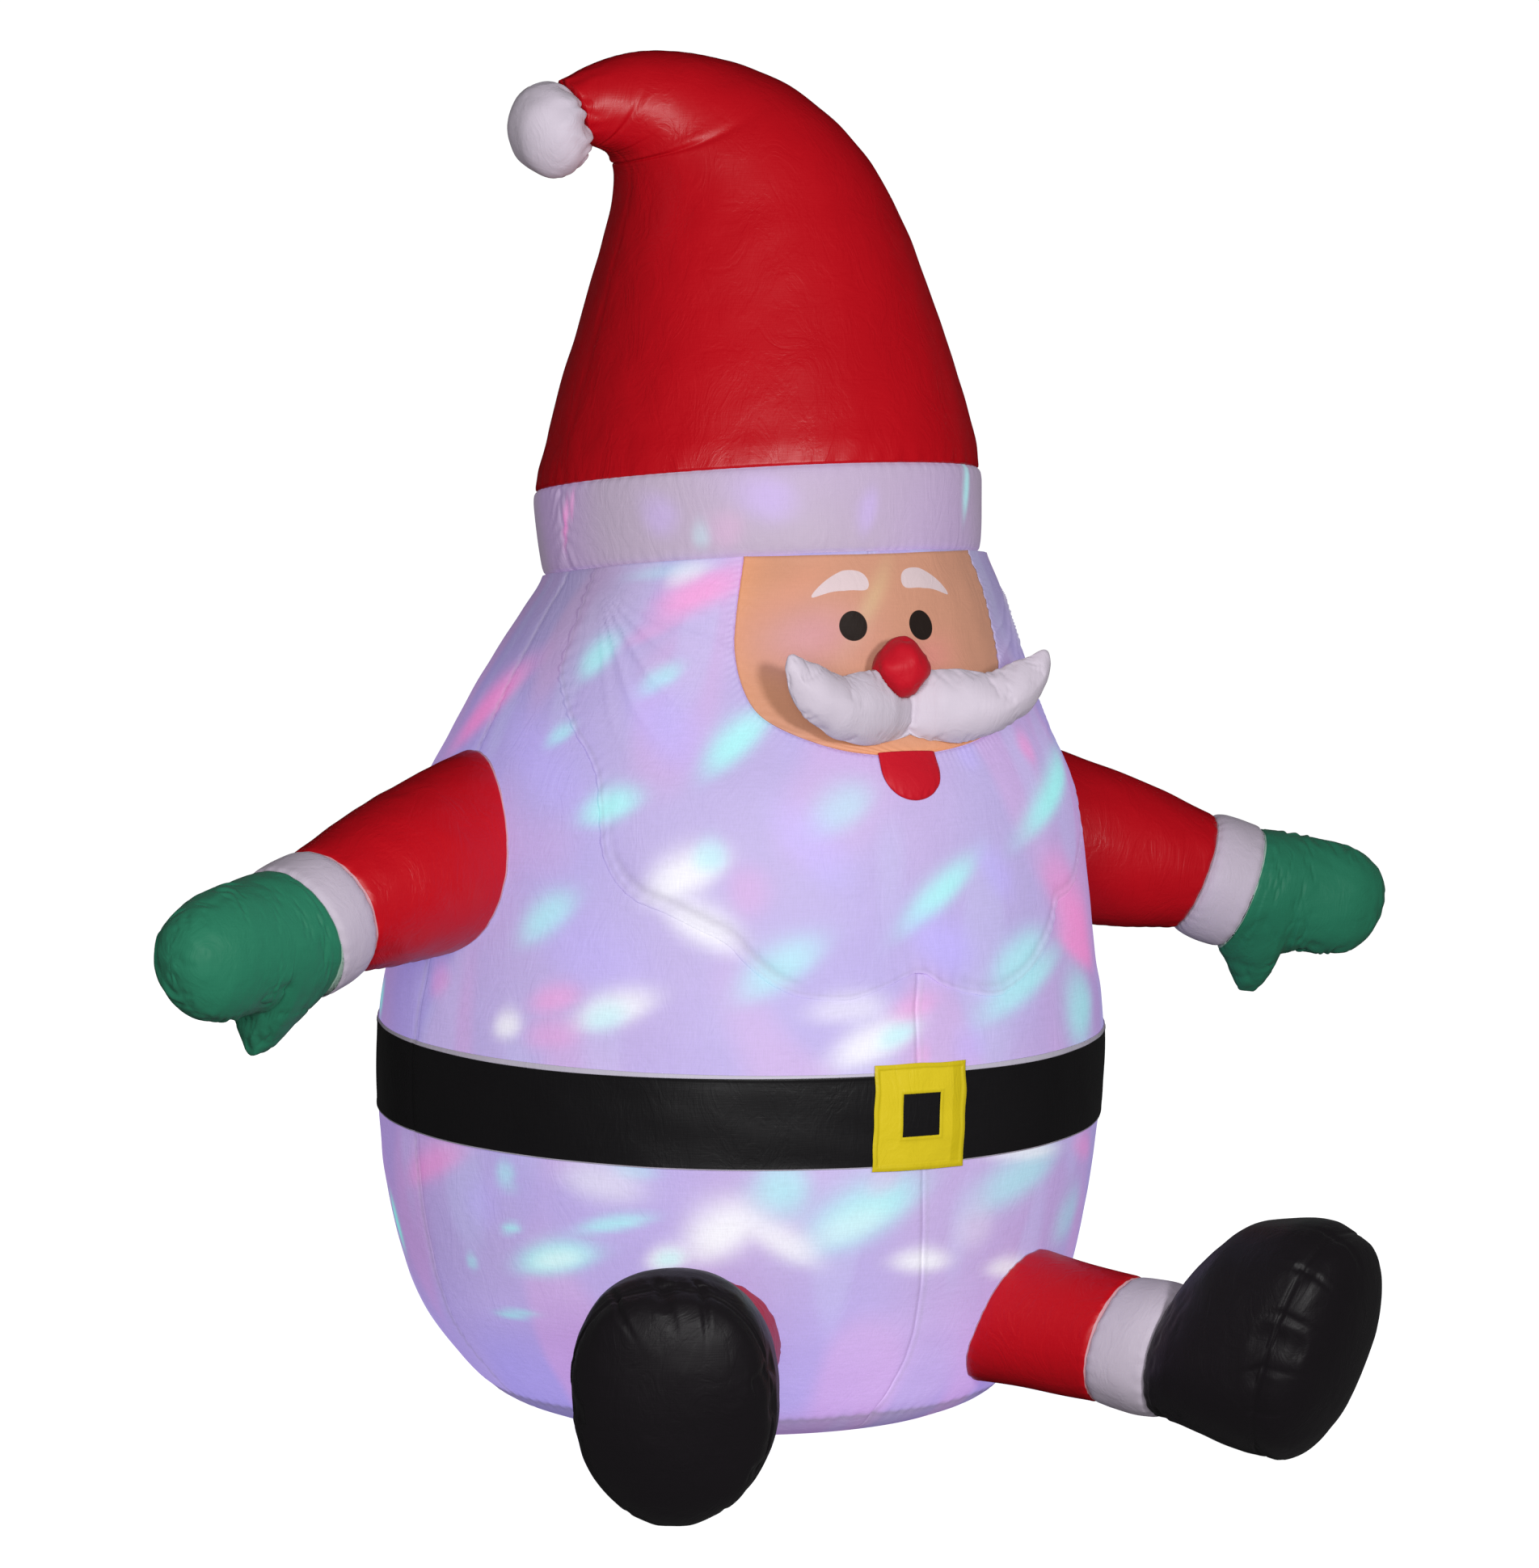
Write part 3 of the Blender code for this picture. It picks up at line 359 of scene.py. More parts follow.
def cloth_material(name, colour, deep, roughness=0.5, sheen=0.05, shine=0.14, crease=0.6, glow=0.0, paint=None):
    """Woven satin: colour and its deeper tone, with thread grain, creases, and light from inside if it glows.

    paint is a function that is given the base colour and lays other colours over it; it also returns how much of
    the inside light comes through.
    """
    mat = bpy.data.materials.new(name)
    mat.use_nodes = True
    tree = mat.node_tree
    shader = tree.nodes["Principled BSDF"]
    start = Socket(tree, None)
    place = start.node('ShaderNodeTexCoord', out=3)

    def noise(scale, size, detail=2.0, rough=0.5, warp=0.0):
        spot = start.node('ShaderNodeMapping', {}, {"Vector": place, "Scale": scale})
        return start.node('ShaderNodeTexNoise', {}, {"Vector": spot, "Scale": size, "Detail": detail,
                                                     "Roughness": rough, "Distortion": warp})

    warp_thread = noise((1.0, 1.0, 0.05), 620.0)
    weft_thread = noise((0.07, 0.07, 1.0), 560.0)
    tone = noise((1.0, 1.0, 1.0), 3.2, 3.0)
    fold = noise((1.0, 1.0, 0.55), 17.0, 4.0, 0.62, 1.4)
    thread = warp_thread * 0.55 + weft_thread * 0.45
    share = ((thread - 0.5) * GRAIN + (tone - 0.5) * 0.8 + 0.45).maths('ADD', 0.0, clamp=True)
    base, through = share.mix(deep, colour), None
    if paint:
        base, through = paint(start, base)
    tree.links.new(base.output, shader.inputs["Base Color"])
    rough = thread * 0.18 + (roughness - 0.09)
    tree.links.new(rough.output, shader.inputs["Roughness"])
    crinkle = (fold - 0.5).maths('ABSOLUTE').step(0.0, 0.12)
    relief = crinkle * (0.0009 * crease) + warp_thread * 0.00022 + weft_thread * 0.0002
    bump = start.node('ShaderNodeBump', {}, {"Height": relief, "Distance": 1.0, "Strength": 0.55})
    tree.links.new(bump.output, shader.inputs["Normal"])
    shader.inputs["Sheen Weight"].default_value = sheen
    shader.inputs["Sheen Roughness"].default_value = 0.5
    shader.inputs["Specular IOR Level"].default_value = shine
    if glow:
        light = start.node('ShaderNodeAttribute', {"attribute_name": "glow"})
        share = thread * 0.5 + 0.75
        if through:
            share = share * through
        grainy = start.node('ShaderNodeVectorMath', {"operation": 'SCALE'}, {0: light, "Scale": share})
        tree.links.new(grainy.output, shader.inputs["Emission Color"])
        shader.inputs["Emission Strength"].default_value = glow
    print("material", name, "with", len(tree.nodes), "nodes")
    return mat


RED = {"colour": (0.50, 0.002, 0.008), "deep": (0.38, 0.001, 0.006), "roughness": 0.40, "sheen": 0.0, "shine": 0.27}
lilac_cloth = cloth_material("lilac_cloth", (0.33, 0.30, 0.37), (0.27, 0.245, 0.31), glow=1.0)
pale_cloth = cloth_material("pale_cloth", (0.42, 0.35, 0.43), (0.35, 0.29, 0.37), glow=1.0)
white_cloth = cloth_material("white_cloth", (0.61, 0.54, 0.63), (0.52, 0.46, 0.54), sheen=0.08)
# The cuffs' cloth is the same white cloth in a darker tone: painted shade.
shaded_cuff_cloth = cloth_material("shaded_cuff_cloth", (0.53, 0.465, 0.555), (0.44, 0.385, 0.465))
red_cloth = cloth_material("red_cloth", **RED)
red_piped = cloth_material("red_piped", **RED, paint=piping((0.55, 0.30, 0.34)))
nose_cloth = cloth_material("nose_cloth", (0.54, 0.008, 0.020), (0.43, 0.004, 0.014), sheen=0.03)
green_cloth = cloth_material("green_cloth", (0.028, 0.20, 0.115), (0.014, 0.135, 0.075), 0.48, 0.03, 0.09,
                             paint=piping((0.30, 0.42, 0.36)))
black_cloth = cloth_material("black_cloth", (0.010, 0.008, 0.010), (0.006, 0.005, 0.006), 0.46, 0.03, 0.12)

# %% [markdown]
# ## The trunk's shape
# Head, chest and belly are one egg-shaped bag. Its radius and its forward lean follow two profiles up its height,
# and its rings tip with the belt and the brim. Other pieces are sewn to it, so its surface is a function that they
# all share: a bearing from the front, a height and a lift give a point.

# %% Trunk surface
TRUNK_HEIGHT = 1.318
BELLY_RADIUS = 0.575
LEAN = 0.074
BRIM_TILT = 0.07
BRIM_ROLL = 0.022
BELT_LOW = 0.465
BELT_WIDTH = 0.133
BELT_DIP = 0.047
BELT_ROLL = 0.013
RADIUS_PROFILE = [(0.0, 0.595), (0.012, 0.668), (0.03, 0.728), (0.064, 0.797), (0.104, 0.862), (0.143, 0.906),
                  (0.222, 0.956), (0.301, 0.985), (0.379, 0.998), (0.438, 1.0), (0.496, 0.989), (0.531, 0.974),
                  (0.62, 0.944), (0.7, 0.912), (0.747, 0.883), (0.806, 0.814), (0.883, 0.729), (0.96, 0.646),
                  (1.0, 0.6), (1.1, 0.56)]
LEAN_PROFILE = [(0.0, 0.2), (0.04, 0.1), (0.12, -0.08), (0.25, -0.12), (0.38, 0.0), (0.53, 0.1), (0.76, 0.38),
                (0.87, 0.47), (1.0, 0.9), (1.1, 1.0)]
BELT_SHARE = (BELT_LOW + BELT_WIDTH / 2) / TRUNK_HEIGHT
TIP_STEPS = (-0.1, 0.0, BELT_SHARE - 0.09, BELT_SHARE + 0.09, 0.7, 0.8, 1.0, 1.3)


def ring_slopes(share):
    """How much a ring tips: front up, and Santa's left side up, as slopes at a share of the trunk's height."""
    tilt = smooth(list(zip(TIP_STEPS, (0, 0, -BELT_DIP, -BELT_DIP, 0, 0, BRIM_TILT, BRIM_TILT))), share)
    roll = smooth(list(zip(TIP_STEPS, (0, 0, BELT_ROLL, BELT_ROLL, 0, 0, BRIM_ROLL, BRIM_ROLL))), share)
    return tilt, roll


def trunk_radius(share):
    """The profile's radius at a share of the height."""
    return smooth(RADIUS_PROFILE, share) * BELLY_RADIUS


def trunk_point(bearing, share):
    """The point at a bearing in degrees and a share of the height: a tipped ring of the profile's radius."""
    turn = np.radians(bearing)
    radius = trunk_radius(share)
    tilt, roll = ring_slopes(share)
    across, front = np.sin(turn), np.cos(turn)
    return np.stack([radius * across * np.cos(roll),
                     -smooth(LEAN_PROFILE, share) * LEAN - radius * front * np.cos(tilt),
                     share * TRUNK_HEIGHT + radius * (front * np.sin(tilt) + across * np.sin(roll))], axis=-1)


def trunk_share(bearing, height):
    """The share of the trunk's height whose ring passes through this height at this bearing, found by steps."""
    bearing, height = np.broadcast_arrays(np.asarray(bearing, float), np.asarray(height, float))
    share = height / TRUNK_HEIGHT
    for _ in range(8):
        share = share + (height - trunk_point(bearing, share)[..., 2]) / TRUNK_HEIGHT
    return share


def trunk_normal(bearing, share):
    """Outward normal: across the way round and the way up."""
    turn = np.radians(bearing)
    up = trunk_point(bearing, share + 0.004) - trunk_point(bearing, share - 0.004)
    side = np.stack([np.cos(turn), np.sin(turn), np.zeros_like(turn)], axis=-1)
    return unit(np.cross(side, up))


def outside_trunk(points):
    """How far each point stands off the trunk, sideways, below zero inside."""
    share = points[..., 2] / TRUNK_HEIGHT
    for _ in range(6):
        tilt, roll = ring_slopes(share)
        dy = points[..., 1] + smooth(LEAN_PROFILE, share) * LEAN
        share = np.clip((points[..., 2] + dy * np.tan(tilt) - points[..., 0] * np.tan(roll)) / TRUNK_HEIGHT, 0.0, 1.08)
    dy = points[..., 1] + smooth(LEAN_PROFILE, share) * LEAN
    return np.hypot(points[..., 0], dy) - trunk_radius(share)


print("belly front at", trunk_point(0.0, 0.438).round(3))

# %% [markdown]
# ## Seams and puckers of the trunk
# Four gores meet in seams at the front, at both sides and at the back. Thread pulls a seam in by a few
# millimetres, and since the cloth on each side is a little longer than the thread, it gathers into short slanting
# puckers. The relief is a groove, minus a hump of millimetres' width, and waves that fade away from the seam.

# %% Trunk relief
FRONT_SEAM = [(0.0, -2.0), (0.04, -1.5), (0.076, -0.3), (0.137, 0.8), (0.222, 0.7), (0.327, -0.2), (0.438, -1.4),
              (0.593, -2.8), (0.66, -2.7), (0.72, -2.0), (1.4, -2.0)]
BASE_SEAM = 0.036
RELIEF_RADIUS = 0.55


def seams_at(height):
    """Bearings of the four seams; the front one wanders with the height."""
    return smooth(FRONT_SEAM, height), 90.0, 180.0, -90.0


def trunk_relief(bearing, height, sewn=True):
    """Relief of the trunk's cloth in metres: a slow unevenness and, if sewn, its seams' grooves and puckers."""
    place = on_drum(bearing, height, RELIEF_RADIUS)
    relief = 0.0011 * ripples(place, 0.30, 3) + 0.0004 * ripples(place, 0.07, 4)
    if not sewn:
        return relief
    for number, seam in enumerate(seams_at(height)):
        off = turn_between(bearing, seam) * math.radians(RELIEF_RADIUS)
        near = np.abs(off)
        beat = np.sin((height + 0.55 * near) * 2 * math.pi / 0.021 + 2.4 * ripples(place, 0.12, 20 + number)
                      + np.where(off > 0, 1.3, 0.0))
        strength = np.clip(0.55 + 0.6 * ripples(place, 0.16, 30 + number), 0.1, 1.3)
        relief = relief + 0.0012 * beat * dying(near, 0.026) * strength * (1.0 - bump_of(near, 0.003))
        relief = relief - 0.0028 * bump_of(near, 0.0045) - 0.0012 * bump_of(near, 0.014)
    base = height - BASE_SEAM
    relief = relief - 0.0025 * bump_of(base, 0.004)
    relief = relief + 0.0012 * beat_of(place, bearing * 1.9, 0.2, 41, 2.0) * dying(np.abs(base), 0.016)
    fade = between(0.004, 0.03, height) * (1.0 - between(1.33, 1.42, height))
    return np.where(height < BASE_SEAM + 0.02, np.minimum(relief, 0.0), relief) * fade


def on_trunk(bearing, height, lift=0.0, sewn=True):
    """The trunk's own surface at a bearing and a height, lifted off its cloth."""
    bearing, height = np.broadcast_arrays(np.asarray(bearing, float), np.asarray(height, float))
    share = trunk_share(bearing, height)
    rise = trunk_relief(bearing, height, sewn) + lift
    return trunk_point(bearing, share) + trunk_normal(bearing, share) * rise[..., None]


print("the front seam pulls in by", float(-trunk_relief(np.array(-2.0), np.array(1.0))) * 1000, "mm")

# %% [markdown]
# ## Light from inside
# A turning lamp in the belly throws coloured petals on the cloth, so the whole bag glows. On the real figure each
# petal is a soft leaf of mint, white, pink or blue light, some 60 to 200 mm long. They are listed one by one in the
# lesson, each with a bearing, a height, a length, a width, a tilt, a colour and a strength; the back gets a
# scattering of the same leaves. The light is a colour per point of the mesh, and feeds the emission.

# %% Petals of light
LIGHTS = {"mint": (0.13, 0.62, 0.58), "white": (0.60, 0.62, 0.62), "pink": (0.58, 0.10, 0.38),
          "blue": (0.24, 0.19, 0.66), "violet": (0.24, 0.14, 0.60)}
PETALS = [
    (-43.7, 1.276, .142, .045, 25, "pink", 1.0), (-51.9, 1.222, .093, .021, 27, "pink", .35),
    (-52.0, 1.309, .136, .019, 8, "mint", .3), (-48.2, 1.303, .067, .025, 23, "white", .5),
    (-63.4, 1.181, .075, .037, 55, "mint", .75), (-48.2, 1.147, .072, .026, 35, "mint", .7),
    (-46.3, 1.079, .162, .063, -43, "blue", .55), (-32.3, 1.059, .129, .039, 45, "mint", 1.0),
    (-67.5, 1.065, .054, .022, 30, "mint", .7), (-69.7, 1.021, .241, .059, -33, "blue", .4),
    (-53.3, .963, .101, .037, 19, "mint", .95), (-93.6, 1.102, .196, .048, 42, "pink", .9),
    (-14.7, .960, .114, .046, 32, "mint", .5), (-20.1, .907, .159, .056, -46, "blue", .5),
    (-39.5, .865, .128, .050, 28, "white", 1.0), (-36.6, .792, .139, .045, -28, "white", .9),
    (-35.9, .892, .052, .036, 0, "mint", .6), (-62.4, .798, .113, .043, 36, "mint", .75),
    (-30.1, .844, .079, .048, -76, "pink", .3), (-53.5, .737, .199, .082, -21, "blue", .4),
    (1.8, .833, .168, .035, 37, "mint", .95), (1.8, .751, .130, .066, -37, "blue", .5),
    (-24.3, .731, .146, .047, 33, "mint", .7), (-59.7, .679, .091, .031, 12, "pink", .6),
    (-49.4, .667, .134, .039, 18, "white", .9), (-50.9, .656, .073, .031, 14, "mint", .5),
    (-67.9, .635, .055, .032, 12, "white", .8), (-59.7, .626, .091, .036, 6, "pink", .45),
    (-9.9, .618, .149, .042, 21, "white", 1.0), (-6.3, .629, .070, .025, 22, "mint", .6),
    (-13.9, .670, .128, .034, 5, "white", .55), (-3.3, .667, .085, .029, 15, "pink", .55),
    (-2.3, .597, .030, .024, -22, "pink", .4), (2.4, .755, .104, .045, -25, "blue", .5),
    (18.4, .731, .143, .043, 25, "mint", .7), (19.6, .688, .225, .041, 22, "mint", .75),
    (36.6, .632, .131, .086, 30, "mint", .45), (38.6, .729, .163, .035, -21, "pink", 1.0),
    (-10.4, .363, .194, .062, 26, "mint", .95), (-12.5, .346, .128, .037, 19, "white", .35),
    (18.2, .395, .205, .059, 17, "mint", .6), (18.8, .436, .184, .023, -4, "white", .7),
    (39.4, .418, .119, .032, -15, "pink", .5), (-.2, .284, .106, .028, -4, "white", .9),
    (18.3, .255, .100, .025, -7, "white", .7), (9.1, .325, .085, .053, 8, "white", .25),
    (36.8, .311, .111, .059, 24, "mint", .35), (-8.0, .409, .059, .032, 24, "pink", .25),
    (-23.2, .411, .077, .061, 14, "mint", .55), (6.4, .604, .065, .045, 9, "blue", .4),
    (-32.1, .341, .132, .060, 33, "white", 1.0), (-23.5, .327, .129, .037, -31, "white", .85),
    (-40.7, .299, .067, .028, 15, "white", .95), (-40.5, .299, .046, .020, 14, "mint", .5),
    (-50.7, .411, .141, .051, -9, "white", .5), (-45.5, .433, .074, .023, -6, "mint", .35),
    (-24.4, .392, .103, .054, -22, "mint", .4), (-84.8, .410, .194, .039, 21, "pink", .6),
    (-67.8, .414, .039, .025, 5, "mint", .5), (-67.3, .329, .040, .012, 9, "mint", .7),
    (-77.4, .266, .029, .018, 7, "mint", .45), (-67.6, .394, .045, .016, -8, "mint", .25),
    (-48.8, .350, .121, .018, 11, "mint", .75), (-59.2, .289, .147, .036, 13, "mint", 1.0),
    (-59.1, .288, .097, .022, 12, "white", .5), (-69.7, .193, .088, .011, 6, "mint", .6),
    (-73.2, .360, .079, .060, -34, "blue", .3), (-84.9, .688, .055, .038, 29, "pink", .4),
    (-107.1, .290, .090, .030, -72, "mint", 1.0), (-112.0, .640, .060, .030, -60, "mint", .8),
    (32.8, .966, .255, .038, 27, "mint", .95), (29.7, 1.037, .043, .036, -32, "pink", .6),
    (30.9, .835, .143, .064, -33, "pink", .6), (38.6, .766, .180, .079, -33, "pink", 1.0),
    (13.3, .860, .098, .041, -50, "blue", .5), (36.9, .635, .111, .063, 27, "mint", .4),
    (11.7, 1.031, .041, .034, -20, "blue", .4),
]


def scattered_petals(count, seed):
    """More leaves for the side away from the camera, spread with seeded dice."""
    dice = np.random.default_rng(seed)
    words = ["mint", "mint", "white", "pink", "blue", "white"]
    rows = []
    for n in range(count):
        bearing = 62.0 + 178.0 * ((n * 0.618 + dice.uniform(0, 0.1)) % 1.0)
        height = 0.16 + 1.1 * ((n + dice.uniform(0, 1)) / count)
        rows.append((turn_between(bearing, 0.0), height, dice.uniform(0.07, 0.19), dice.uniform(0.022, 0.06),
                     dice.uniform(-35, 50), words[n % len(words)], dice.uniform(0.4, 0.95)))
    return rows


def lay_light(glow, bearing, height, radius, petals):
    """Lays each petal over the glow: full in the middle of a leaf, soft at its rim, softer on its upper side."""
    for spot, level, length, width, tilt, word, strength in petals:
        u = np.radians(turn_between(bearing, spot)) * radius
        v = height - level
        lean = math.radians(tilt)
        a = (u * math.cos(lean) + v * math.sin(lean)) / (length * 0.48)
        b = (v * math.cos(lean) - u * math.sin(lean)) / (width * 0.64)
        b = np.where(b > 0, b * 0.8, b * 1.15) * (1.0 + 0.35 * a * a)
        glow = blend(glow, LIGHTS[word], np.exp(-np.abs(a) ** 3.0 - np.abs(b) ** 2.4) * min(strength, 1.0))
    return glow


TRUNK_PETALS = scattered_petals(30, 8) + PETALS
# colour, its most share, the low and high ends of its relief, that relief's size, seed and share of the height
MOODS = [((0.175, 0.145, 0.47), 0.6, -0.6, 0.9, 0.5, 52, 1.0), ((0.315, 0.16, 0.42), 0.75, 0.0, 1.0, 0.34, 53, 1.0),
         ((0.25, 0.25, 0.50), 0.5, 0.3, 1.2, 0.24, 54, 0.6)]


def trunk_glow(bearing, height):
    """The light through the trunk's cloth: a slow mix of lilacs, dimmer at the shoulders, brighter low down."""
    place = on_drum(bearing, height)
    glow = blend((0.215, 0.165, 0.42), (0.245, 0.15, 0.40), between(-0.8, 0.8, ripples(place, 0.75, 51)))
    for colour, most, low, high, size, seed, tall in MOODS:
        glow = blend(glow, colour, between(low, high, ripples(place * np.array([1.0, 1.0, tall]), size, seed)) * most)
    dim = 1.0 - 0.5 * between(1.0, 1.3, height) * between(20, 60, np.abs(turn_between(bearing, -20.0)))
    low = 1.0 + 0.40 * between(0.30, 0.06, height)
    return lay_light(glow * (dim * low)[..., None], bearing, height, trunk_radius(height / TRUNK_HEIGHT), TRUNK_PETALS)


def seam_highlight_and_shade(glow, bearing, height):
    """Seams of the trunk on the inside light: a pale painted highlight along each seam, painted shade in a line on each
    side, and painted shade along and below the base seam, where the bag turns under.
    """
    broken = between(-0.8, 0.6, ripples(on_drum(bearing, height), 0.06, 55))
    for number, seam in enumerate(seams_at(height)):
        off = np.abs(turn_between(bearing, seam)) * math.radians(RELIEF_RADIUS)
        # pale is a painted highlight along the seam; dark is painted shade in a line beside it
        pale = bump_of(off, 0.0014) * (0.12 + 0.3 * broken) * (1.0 if number == 0 else 0.45)
        dark = bump_of(off - 0.0055, 0.003) * (0.22 if number == 0 else 0.30)
        glow = glow * (1 - dark)[..., None] + np.array([0.34, 0.32, 0.36]) * pale[..., None]
    # painted shade: a dark line on the base seam and darker cloth below it, where the bag turns under
    base = height - BASE_SEAM
    return glow * (1 - 0.45 * bump_of(base + 0.001, 0.003) - 0.5 * between(0.001, -0.006, base))[..., None]


print(len(TRUNK_PETALS), "petals of light")

# %% [markdown]
# ## The trunk
# Columns crowd near the four seams, where the relief is fine, and spread over the plain cloth between. The rows
# follow the profile's real length, so they also crowd where the bag turns under at the base.

# %% Trunk
GORE_COLUMNS = (68, 160, 130, 68)
TRUNK_ROWS = 152


def quarter(count):
    """Shares of a gore's width, closer together near both of its seams."""
    t = np.arange(count) / count
    return t - 0.62 * np.sin(2 * math.pi * t) / (2 * math.pi)


def trunk_rows(count):
    """Shares of the trunk's height at even steps along its profile."""
    fine = np.linspace(0.0, 1.0, 2000)
    profile = np.stack([trunk_radius(fine), fine * TRUNK_HEIGHT], axis=1)
    length = np.concatenate([[0.0], np.cumsum(np.linalg.norm(np.diff(profile, axis=0), axis=1))])
    return np.interp(np.linspace(0.0, length[-1], count), length, fine)


columns = np.concatenate([start + 90 * quarter(count) for start, count in zip((-180, -90, 0, 90), GORE_COLUMNS)])
share, spot = np.meshgrid(trunk_rows(TRUNK_ROWS), columns, indexing="ij")
level = trunk_point(spot, share)[..., 2]
spot = spot + smooth(FRONT_SEAM, level) * bump_of(spot, 14.0)
level = trunk_point(spot, share)[..., 2]
skin = trunk_point(spot, share) + trunk_normal(spot, share) * trunk_relief(spot, level)[..., None]
skin[..., 2] = np.maximum(skin[..., 2], 0.0)
# the trunk's inside light, with painted highlight and painted shade along its seams
light = seam_highlight_and_shade(trunk_glow(spot, level), spot, level)
dress(mesh_piece("trunk", skin, lilac_cloth, (8, 4), glow=light), "body")

# %% [markdown]
# ## Sewn skins
# Belt, buckle, face, beard and lip are flat cloth sewn over the trunk. A skin is a grid of bearings and heights
# with a lift for each: the upper side follows the lift, the lower side lies a hair over the trunk's cloth, and a
# rim joins the two.

# %% Skin tool
UNDER = 0.0005
THINNEST = 0.0012


def cut_flat(piece, top, closed=False, sides=None):
    """Hands the piece back as it is. It works out the sheet's cut, as long as its longest row and as wide as its
    longest column unless its sides are given, and the cross product of each face's diagonals, but keeps none of it."""
    if closed:
        top = np.concatenate([top, top[:, :1]], axis=1)
    diagonals = np.cross(top[1:, 1:] - top[:-1, :-1], top[1:, :-1] - top[:-1, 1:])
    sides = sides or sorted(np.linalg.norm(np.diff(top, axis=n), axis=-1).sum(axis=n).max() for n in (0, 1))
    tuple(float(side) for side in sides)
    return piece


def skin_piece(name, spots, levels, lift, finish, glow=None, cloth=None, under=UNDER):
    """A thin closed sheet over the trunk: its upper and lower grids, and a rim of faces round the edge."""
    top = on_trunk(spots, levels, lift, sewn=False)
    low = on_trunk(spots, levels, np.full(np.shape(lift), under), sewn=under == UNDER)
    rows, cols = top.shape[:2]
    i, j = np.meshgrid(np.arange(rows - 1), np.arange(cols - 1), indexing="ij")
    quads = np.stack([i * cols + j, i * cols + j + 1, (i + 1) * cols + j + 1, (i + 1) * cols + j], axis=-1)
    quads = quads.reshape(-1, 4)
    edge = np.concatenate([np.arange(cols - 1), cols - 1 + cols * np.arange(rows - 1),
                           rows * cols - 1 - np.arange(cols - 1), (rows - 1) * cols - cols * np.arange(rows - 1)])
    after = np.roll(edge, -1)
    rim = np.stack([after, edge, edge + rows * cols, after + rows * cols], axis=-1)
    faces = np.concatenate([quads, quads[:, ::-1] + rows * cols, rim])
    middle = top[rows // 2, cols // 2]
    across = np.cross(top[rows // 2, cols // 2 + 1] - middle, top[rows // 2 + 1, cols // 2] - middle)
    if across @ (middle - low[rows // 2, cols // 2]) < 0:
        faces = faces[:, ::-1]
    cloth, glow = (None if grid is None else np.concatenate([grid.reshape(-1, 3)] * 2) for grid in (cloth, glow))
    verts = np.concatenate([top.reshape(-1, 3), low.reshape(-1, 3)])
    return cut_flat(mesh_of(name, verts, faces.tolist(), finish, cloth, glow), top)


def band_piece(name, top, low, finish, cloth, node, sides=None):
    """A closed ring of cloth: its outside from one edge to the other, then its underside back again."""
    piece = mesh_piece(name, np.concatenate([top, low[::-1]]), finish, poles=(False, False), loop=True,
                       cloth=np.concatenate([cloth, cloth[::-1]]))
    return cut_flat(dress(piece, node), top, closed=True, sides=sides)


# %% [markdown]
# ## Face and beard outlines
# Both patches were cut to a drawn outline. The face is a shield under the brim. The beard is a bib with scallops:
# it starts at the brim on both sides, falls to two round points over the belly, and meets in a notch on the seam.

# %% Outlines
FACE_OUTLINE = [(-34.5, 1.36), (-34.7, 1.277), (-34.4, 1.219), (-33.2, 1.17), (-29.2, 1.105), (-20.5, 1.065),
                (-10.4, 1.043), (-1.8, 1.038), (8.0, 1.045), (19.0, 1.063), (28.0, 1.105), (33.0, 1.17),
                (35.0, 1.219), (35.6, 1.277), (35.6, 1.36)]
FACE_CENTRE = (0.5, 1.24)
BEARD_OUTLINE = [(-78.0, 1.36), (-76.8, 1.29), (-74.9, 1.225), (-73.8, 1.17), (-69.5, 1.12), (-64.2, 1.071),
                 (-59.6, 1.036), (-56.6, 1.0), (-55.0, 0.95), (-53.8, 0.9), (-51.2, 0.858), (-47.2, 0.829),
                 (-43.1, 0.815), (-37.4, 0.79), (-33.0, 0.77), (-29.1, 0.733), (-25.0, 0.704), (-20.5, 0.688),
                 (-15.0, 0.684), (-8.5, 0.699), (-2.2, 0.72), (2.0, 0.7), (6.9, 0.685), (12.5, 0.677),
                 (17.0, 0.688), (21.5, 0.711), (25.2, 0.741), (28.2, 0.772), (30.8, 0.805), (35.3, 0.813),
                 (39.6, 0.83), (43.0, 0.859), (47.1, 0.889), (49.5, 0.94), (52.0, 1.0), (55.5, 1.036),
                 (60.5, 1.071), (66.0, 1.12), (70.5, 1.17), (73.0, 1.225), (75.0, 1.29), (76.0, 1.36)]
DEGREES_A_METRE = 57.3 / 0.42


def brim_level(bearing):
    """Height of the trunk's top edge under the brim."""
    return trunk_point(bearing, np.ones_like(np.asarray(bearing, float)))[..., 2] - 0.0006


def outline(points, count, margin=0.0):
    """Points spaced evenly along the drawn outline, moved out by a margin and ended where they meet the brim."""
    def along(line, number):
        line = np.array(line, float)
        steps = np.hypot(*(np.diff(line, axis=0) / (DEGREES_A_METRE, 1.0)).T)
        run = np.concatenate([[0.0], np.cumsum(steps)])
        wanted = np.linspace(0.0, run[-1], number)
        return np.stack([smooth(list(zip(run, line[:, n])), wanted) for n in (0, 1)], axis=1)
    fine = along(points, 900)
    away = unit((fine - np.array(FACE_CENTRE)) / (DEGREES_A_METRE, 1.0))
    fine = fine + away * (DEGREES_A_METRE, 1.0) * margin
    below = fine[:, 1] < brim_level(fine[:, 0])
    fine = fine[below.argmax():len(fine) - below[::-1].argmax()]
    ends = [(a, float(brim_level(a))) for a in (fine[0, 0], fine[-1, 0])]
    return along(np.vstack([[ends[0]], fine[4:-4:6], [ends[1]]]), count)


